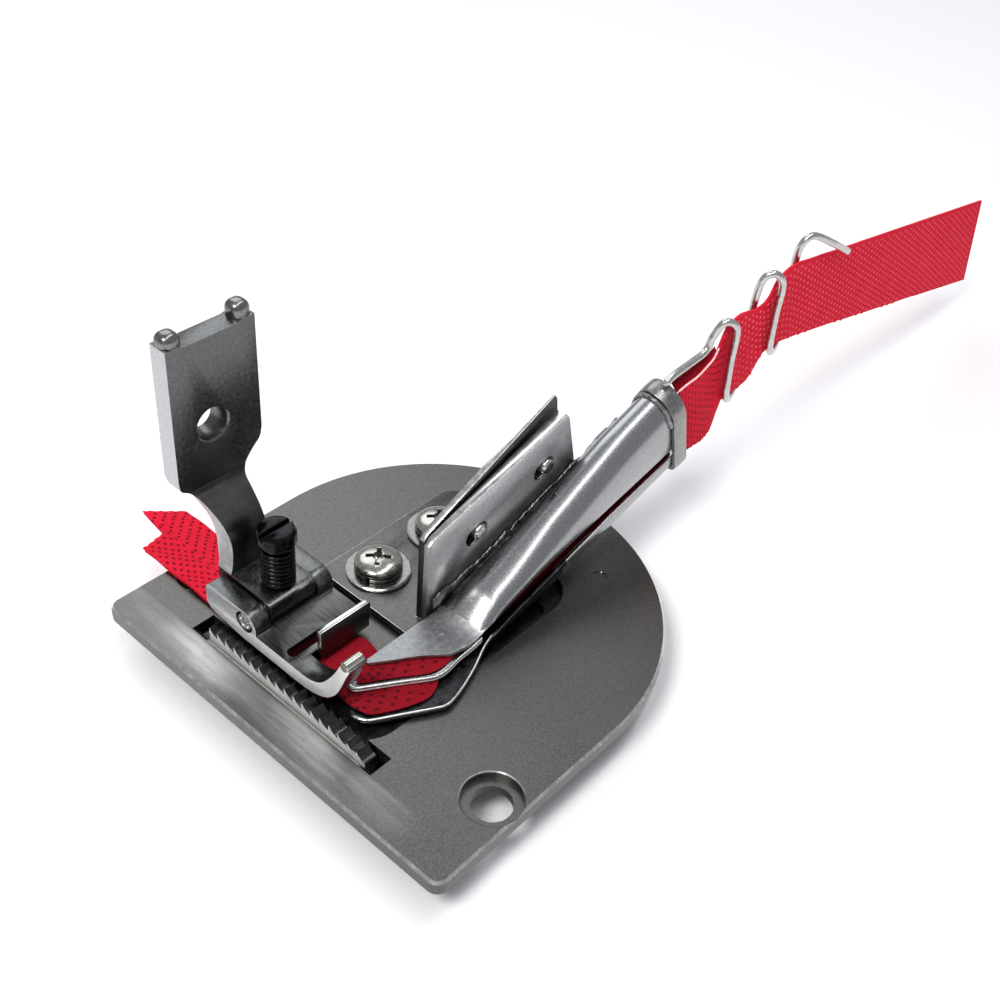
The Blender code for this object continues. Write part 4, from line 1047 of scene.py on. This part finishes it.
def leaf_rows(front, back, z, puff=0.3, count=40, across=14):
    """Flat leaf between a front edge and a back edge, both given as (x, y) routes."""
    route = smooth_path([(x, y, z) for x, y in front], 12)
    rows = []
    for i in range(count + 1):
        p = route[int(i / count * (len(route) - 1))]
        depth = lookup(back, p.x) - p.y
        row = []
        for k in range(across + 1):
            height = z + 0.06 * math.sin(p.x * 1.1 + k) + puff * math.sin(math.pi * k / across)
            row.append(Vector((p.x, p.y + depth * k / across, height)))
        rows.append(row)
    return rows


def mouth_tape():
    upper = leaf_rows([(-19.5, -4.3), (-17.4, -5.7), (-15.0, -7.3), (-12.6, -8.9), (-11.2, -9.6),
                       (-9.6, -9.8), (-7.4, -9.5), (-4.5, -9.0), (-1.4, -8.2)],
                      [(-19.6, -3.7), (-17.5, -3.3), (-1.2, -3.3)], 4.72)
    # Both mouth leaves are painted in the dark red as shade, their dots in the darkest red.
    cloth_sheet("upper_leaf_cloth", upper, 0.18, "scroll", "tape_upper_leaf", look=RED_SHADED)
    surface_dots("upper_leaf_dots", upper, "scroll", RED_DEEP, (0.34, 0.26, 0.05), 2.0, 1.1, 0.18)
    lower = leaf_rows([(-21.9, -3.4), (-21.9, -5.6), (-21.6, -7.4), (-20.9, -8.5), (-18.4, -9.9),
                       (-16.2, -10.9), (-14.2, -11.4), (-12.4, -11.0), (-10.6, -10.0), (-8.0, -9.6),
                       (-1.6, -9.0)], [(-21.9, -1.9), (-13.0, -1.9), (-9.0, -3.3), (-1.2, -3.3)], 3.42)
    cloth_sheet("lower_leaf_cloth", lower, 0.2, "scroll", "tape_lower_leaf", look=RED_SHADED)
    surface_dots("lower_leaf_dots", lower, "scroll", RED_DEEP, (0.34, 0.26, 0.05), 2.0, 1.1, 0.2)


def tail_leaf(z, cut_low, cut_high, rise):
    """One leaf of the tail; `rise` lifts it over the fold ahead of the foot."""
    puff = [(-2.2, 0.3), (-1.4, 1.1), (-0.2, 1.6), (1.0, 1.5), (2.0, 0.85), (2.7, 0.15), (3.0, 0.0),
            (50.0, 0.0)]
    left, right, start = -22.8, -13.6, -2.2
    swallow = [(left, cut_low), (-18.9, cut_low + 0.4), (-18.2, cut_high), (right, cut_high - 4.0)]
    rows = []
    for i in range(91):
        t = (i / 90) ** 1.5
        row = []
        for k in range(25):
            x = left + 9.2 * k / 24
            y = start + (lookup(swallow, x) - start) * t + 0.12 * t * math.sin(k * 2.3)
            droop = 0.06 * math.sin(y * 0.8 + k * 0.5) * (0.3 if y < 20 else 2.0)
            share = min(max((x - left) / 3.0, 0.0), 1.0)
            row.append(Vector((x, y, z + droop + rise * share * eased(puff, y, 0.3))))
        rows.append(row)
    return rows


def tail_tape():
    """Folded tape under the sole: two leaves joined along the right, with a swallow tail."""
    low, high = tail_leaf(2.76, 35.6, 42.0, 0.0), tail_leaf(3.08, 36.0, 42.3, 1.0)
    cloth_sheet("tail_lower_leaf", low, 0.2, "plate", "tape_tail")
    top = cloth_sheet("tail_upper_leaf", high, 0.2, "plate")
    top.data.materials.append(RED_DEEP)
    top.data.materials.append(RED_SHADED)
    # Painted shade: the mound ahead of the foot in dark red, the part under the sole in the darkest red.
    paint(top, 2, lambda p, n: p.y < 2.8)
    paint(top, 1, lambda p, n: 2.8 < p.y < 19.5)
    # The tail's dots are painted dark as shade.
    surface_dots("tail_dots", high, "plate", RED_DOT_SHADE, (0.32, 0.22, 0.05), 1.9, 1.15, 0.2,
                 keep=lambda at, n: at.y < 2.4 or at.y > 19, side=-1)


supply_tape()
tube_tape()
mouth_tape()
tail_tape()

# %% [markdown]
# ## Presser foot

# %%
def presser_sole():
    x0, x1 = -24.1, -10.8
    side = [(2.9, 3.6), (13.0, 3.6), (18.0, 4.15), (19.2, 4.5), (19.9, 5.3), (19.9, 5.7), (2.9, 5.7)]
    sole = solid("sole_body", prism(side, x0, x1, "X"), FOOT, RUNNER_LIT_SIDE, SOLE_TOP, BRIGHT_STEEL_AND_HIGHLIGHT, FOOT_LIT_SIDE)
    top = plane_path([(3.9, 5.7), (2.0, 5.7), (0.4, 5.72), (-1.3, 6.2), (-2.7, 7.2), (-4.0, 8.9),
                       (-5.2, 11.0), (-6.2, 13.1)], 4)
    low = plane_path([(-7.6, 12.7), (-7.0, 11.3), (-5.8, 8.2), (-4.7, 6.3), (-3.3, 4.95), (-1.5, 4.1),
                       (0.6, 3.68), (2.4, 3.6), (3.9, 3.6)], 4)
    cut(sole, prism(top + low, x0 + 0.001, -21.1, "X"), "UNION")
    ear = [(9.9, 4.0)] + arc(12.2, 6.4, 2.3, 180, 90, 12)
    ear += [(19.2, 8.7), (19.75, 8.2), (19.898, 7.4), (19.898, 5.4), (19.0, 4.6), (17.5, 4.4)]
    for start in (x0 + 0.002, x1 - 2.5):
        cut(sole, prism(ear, start, start + 2.496, "X"), "UNION")
    cut(sole, lathe(bore(1.6, -30, -5), PIN, 48, "X"))
    cut(sole, prism(obround(-22.4, -17.4, 4.7, 0.8, 16), 1, 8))
    soften(sole, 0.16, 2, 40)
    settle(sole, "sole", "presser_sole", slot="foot_steel")
    # Painted highlight on the bevels along the sole's sides.
    paint(sole, 3, lambda p, n: 0.25 < abs(n.x) < 0.94 and p.y > 2.0)
    # Painted light on the sole's left runner face.
    paint(sole, 1, lambda p, n: n.x < -0.6 and p.x < -23.5)
    # Painted light on the left face of the sole's upper part.
    paint(sole, 4, lambda p, n: n.x < -0.6 and p.x < -23.5 and p.z > 5.9 and p.y > 4)
    paint(sole, 2, lambda p, n: n.z > 0.9 and p.z < 6.0)
    profile = [(0, -24.2), (0.5, -24.2), (0.72, -24.0), (0.72, -21.4), (0.5, -21.2), (0, -21.2)]
    bead = solid("toe_bead", lathe(profile, (0, -6.7, 12.85), 32, "X"), NICKEL)
    settle(bead, "sole", slot="polished_steel")


def guide_fin():
    outline = [(-20.2, 5.0)] + arc(-13.6, 7.0, 2.0, -90, 0, 10) + [(-11.6, 9.0), (-12.0, 9.5), (-20.2, 9.6)]
    fin = solid("fin_plate", prism(outline, 1.8, 2.6, "Y"), SHANK, BRIGHT_STEEL_AND_HIGHLIGHT)
    soften(fin, 0.14, 2, 40)
    settle(fin, "sole", "guide_fin", slot="foot_steel")
    # Painted highlight on the fin's top edge and its left face.
    paint(fin, 1, lambda p, n: n.z > 0.3 and p.z > 9.0 or n.x < -0.5)


def hinge_pin():
    profile = [(0, -24.0), (0.55, -24.0), (0.62, -23.75), (0.95, -23.72), (1.05, -24.02), (1.2, -24.02),
               (1.3, -23.9), (1.3, -11.0), (1.1, -10.85), (0, -10.85)]
    pin = solid("pin_turned", lathe(profile, PIN, 40, "X"), BRIGHT_STEEL_AND_HIGHLIGHT)
    settle(pin, "foot", "hinge_pin", slot="polished_steel")


def presser_shank():
    front = plane_path([(18.0, 9.2), (17.85, 10.4), (17.6, 12.0), (17.5, 13.8), (17.75, 15.7), (18.7, 17.6),
                         (20.4, 19.5), (21.6, 20.8), (22.0, 22.2)], 5)
    back = plane_path([(24.9, 24.4), (24.3, 22.3), (22.7, 19.6), (21.2, 17.4), (20.7, 15.0), (20.6, 12.0)],
                      5)
    side = [(10.7, 6.0), (10.2, 6.7), (10.2, 8.5), (10.45, 9.0), (11.0, 9.2)] + front
    side += [(22.0, 45.5), (24.9, 45.5)] + back + [(20.6, 7.2), (19.8, 6.0)]
    shank = solid("shank_body", prism(side, -26.5, -10.5, "X"), SHANK, FOOT_LIT_SIDE, FOOT, BRIGHT_STEEL_AND_HIGHLIGHT)
    right = plane_path([(-15.4, 10.2), (-15.4, 14.0), (-15.35, 17.0), (-15.2, 19.4), (-15.0, 21.2),
                        (-14.4, 22.7), (-13.2, 24.1), (-12.1, 25.2), (-11.7, 26.8)], 4)
    left = plane_path([(-25.0, 24.2), (-24.7, 22.9), (-23.6, 22.1), (-22.5, 20.7), (-21.7, 18.6),
                       (-21.3, 16.4), (-21.1, 14.0), (-21.1, 10.4)], 4)
    mask = [(-21.3, 4.0), (-13.6, 4.0), (-13.6, 9.25), (-15.2, 9.6)] + right
    mask += [(-11.8, 43.6), (-13.6, 43.6), (-14.6, 43.3), (-22.1, 43.3), (-22.9, 43.6), (-24.9, 43.6)]
    mask += left + [(-21.3, 9.25)]
    cut(shank, prism(mask, 5, 30, "Y"), "INTERSECT")
    profile = [(0, 20), (2.55, 20), (2.55, 22.0), (2.3, 22.25), (1.8, 24.6), (1.8, 27), (0, 27)]
    cut(shank, lathe(profile, SHANK_HOLE, 64, "Y"))
    cut(shank, lathe(bore(1.6, -30, -5), PIN, 48, "X"))
    cut(shank, lathe(bore(1.55, 8.8, 11), (TENSION_X, TENSION_Y, 0), 32))
    soften(shank, 0.25, 3, 35)
    settle(shank, "foot", "presser_shank", slot="foot_steel")
    # Painted light on the shank's left face.
    paint(shank, 1, lambda p, n: n.x < -0.7 and p.z > 9.5)
    hole_x, _, hole_z = SHANK_HOLE
    paint(shank, 2, lambda p, n: (p.z < 9.4 or p.z > 43.0 and n.z > 0.5
                                  or p.z > 20 and math.dist((p.x, p.z), (hole_x, hole_z)) < 2.7))
    # Painted highlight on the lower block's bevels and the top recess's front edge.
    paint(shank, 3, lambda p, n: (p.z < 9.4 and 0.25 < n.z < 0.93
                                  or p.z > 42.8 and n.y < -0.1 and 0.2 < n.z < 0.97))


def shank_ears():
    for side, x, top in (("left", -23.47, 45.3), ("right", -13.23, 45.5)):
        ear = solid(f"{side}_ear", prism(box(x - 1.4, x + 1.4, 42.4, top), 22.05, 24.85, "Y"), WASHER)
        soften(ear, 1.15, 6, 35)
        settle(ear, "foot", slot="foot_steel")


presser_sole()
guide_fin()
hinge_pin()
presser_shank()
shank_ears()

# %% [markdown]
# ## Tension screw and spring
# The coil is a spiral drawn and given its thickness by Geometry Nodes.

# %%
def tension_screw():
    profile = [(0, 9.1), (1.25, 9.1), (1.25, 15.6), (2.15, 15.7), (2.25, 16.2), (2.5, 16.35), (2.62, 16.5),
               (2.62, 18.1), (2.35, 18.45), (2.2, 18.5), (0, 18.5)]
    screw = solid("tension_screw_turned", lathe(profile, (TENSION_X, TENSION_Y, 0), 56), BLACK)
    cut(screw, prism(box(-22, -13, 12.6, 13.4), 17.6, 20))
    soften(screw, 0.08, 2, 45)
    settle(screw, "tension_screw", "tension_screw", slot="black_oxide")


def tension_spring():
    tree, source, result, add = node_tree("coil_tree", Turns="NodeSocketFloat", Height="NodeSocketFloat")
    spiral, section, tube = add("CurveSpiral"), add("CurvePrimitiveCircle"), add("CurveToMesh")
    move, real, cover = add("Transform"), add("RealizeInstances"), add("SetMaterial")
    put_in(spiral, Resolution=40, Start_Radius=2.0 * MM, End_Radius=2.0 * MM)
    put_in(section, Resolution=12, Radius=0.29 * MM)
    put_in(tube, Fill_Caps=True)
    put_in(move, Translation=Vector((TENSION_X, TENSION_Y, 9.78)) * MM)
    put_in(cover, Material=BLACK)
    wire_up(tree, (source, "Turns", spiral, "Rotations"), (source, "Height", spiral, "Height"),
            (spiral, "Curve", tube, "Curve"), (section, "Curve", tube, "Profile Curve"),
            (tube, "Mesh", move, "Geometry"), (move, "Geometry", real, "Geometry"),
            (real, "Geometry", cover, "Geometry"), (cover, "Geometry", result, "Geometry"))
    spring = placed("tension_spring_coil", bpy.data.meshes.new("tension_spring_coil"))
    step = spring.modifiers.new("Coil", "NODES")
    step.node_group = tree
    set_input(step, "Turns", 8.0)
    set_input(step, "Height", 5.6 * MM)
    settle(spring, "foot", "tension_spring", slot="black_oxide")


tension_screw()
tension_spring()

# %% [markdown]
# ## End of the build

# %%
print("build finished")
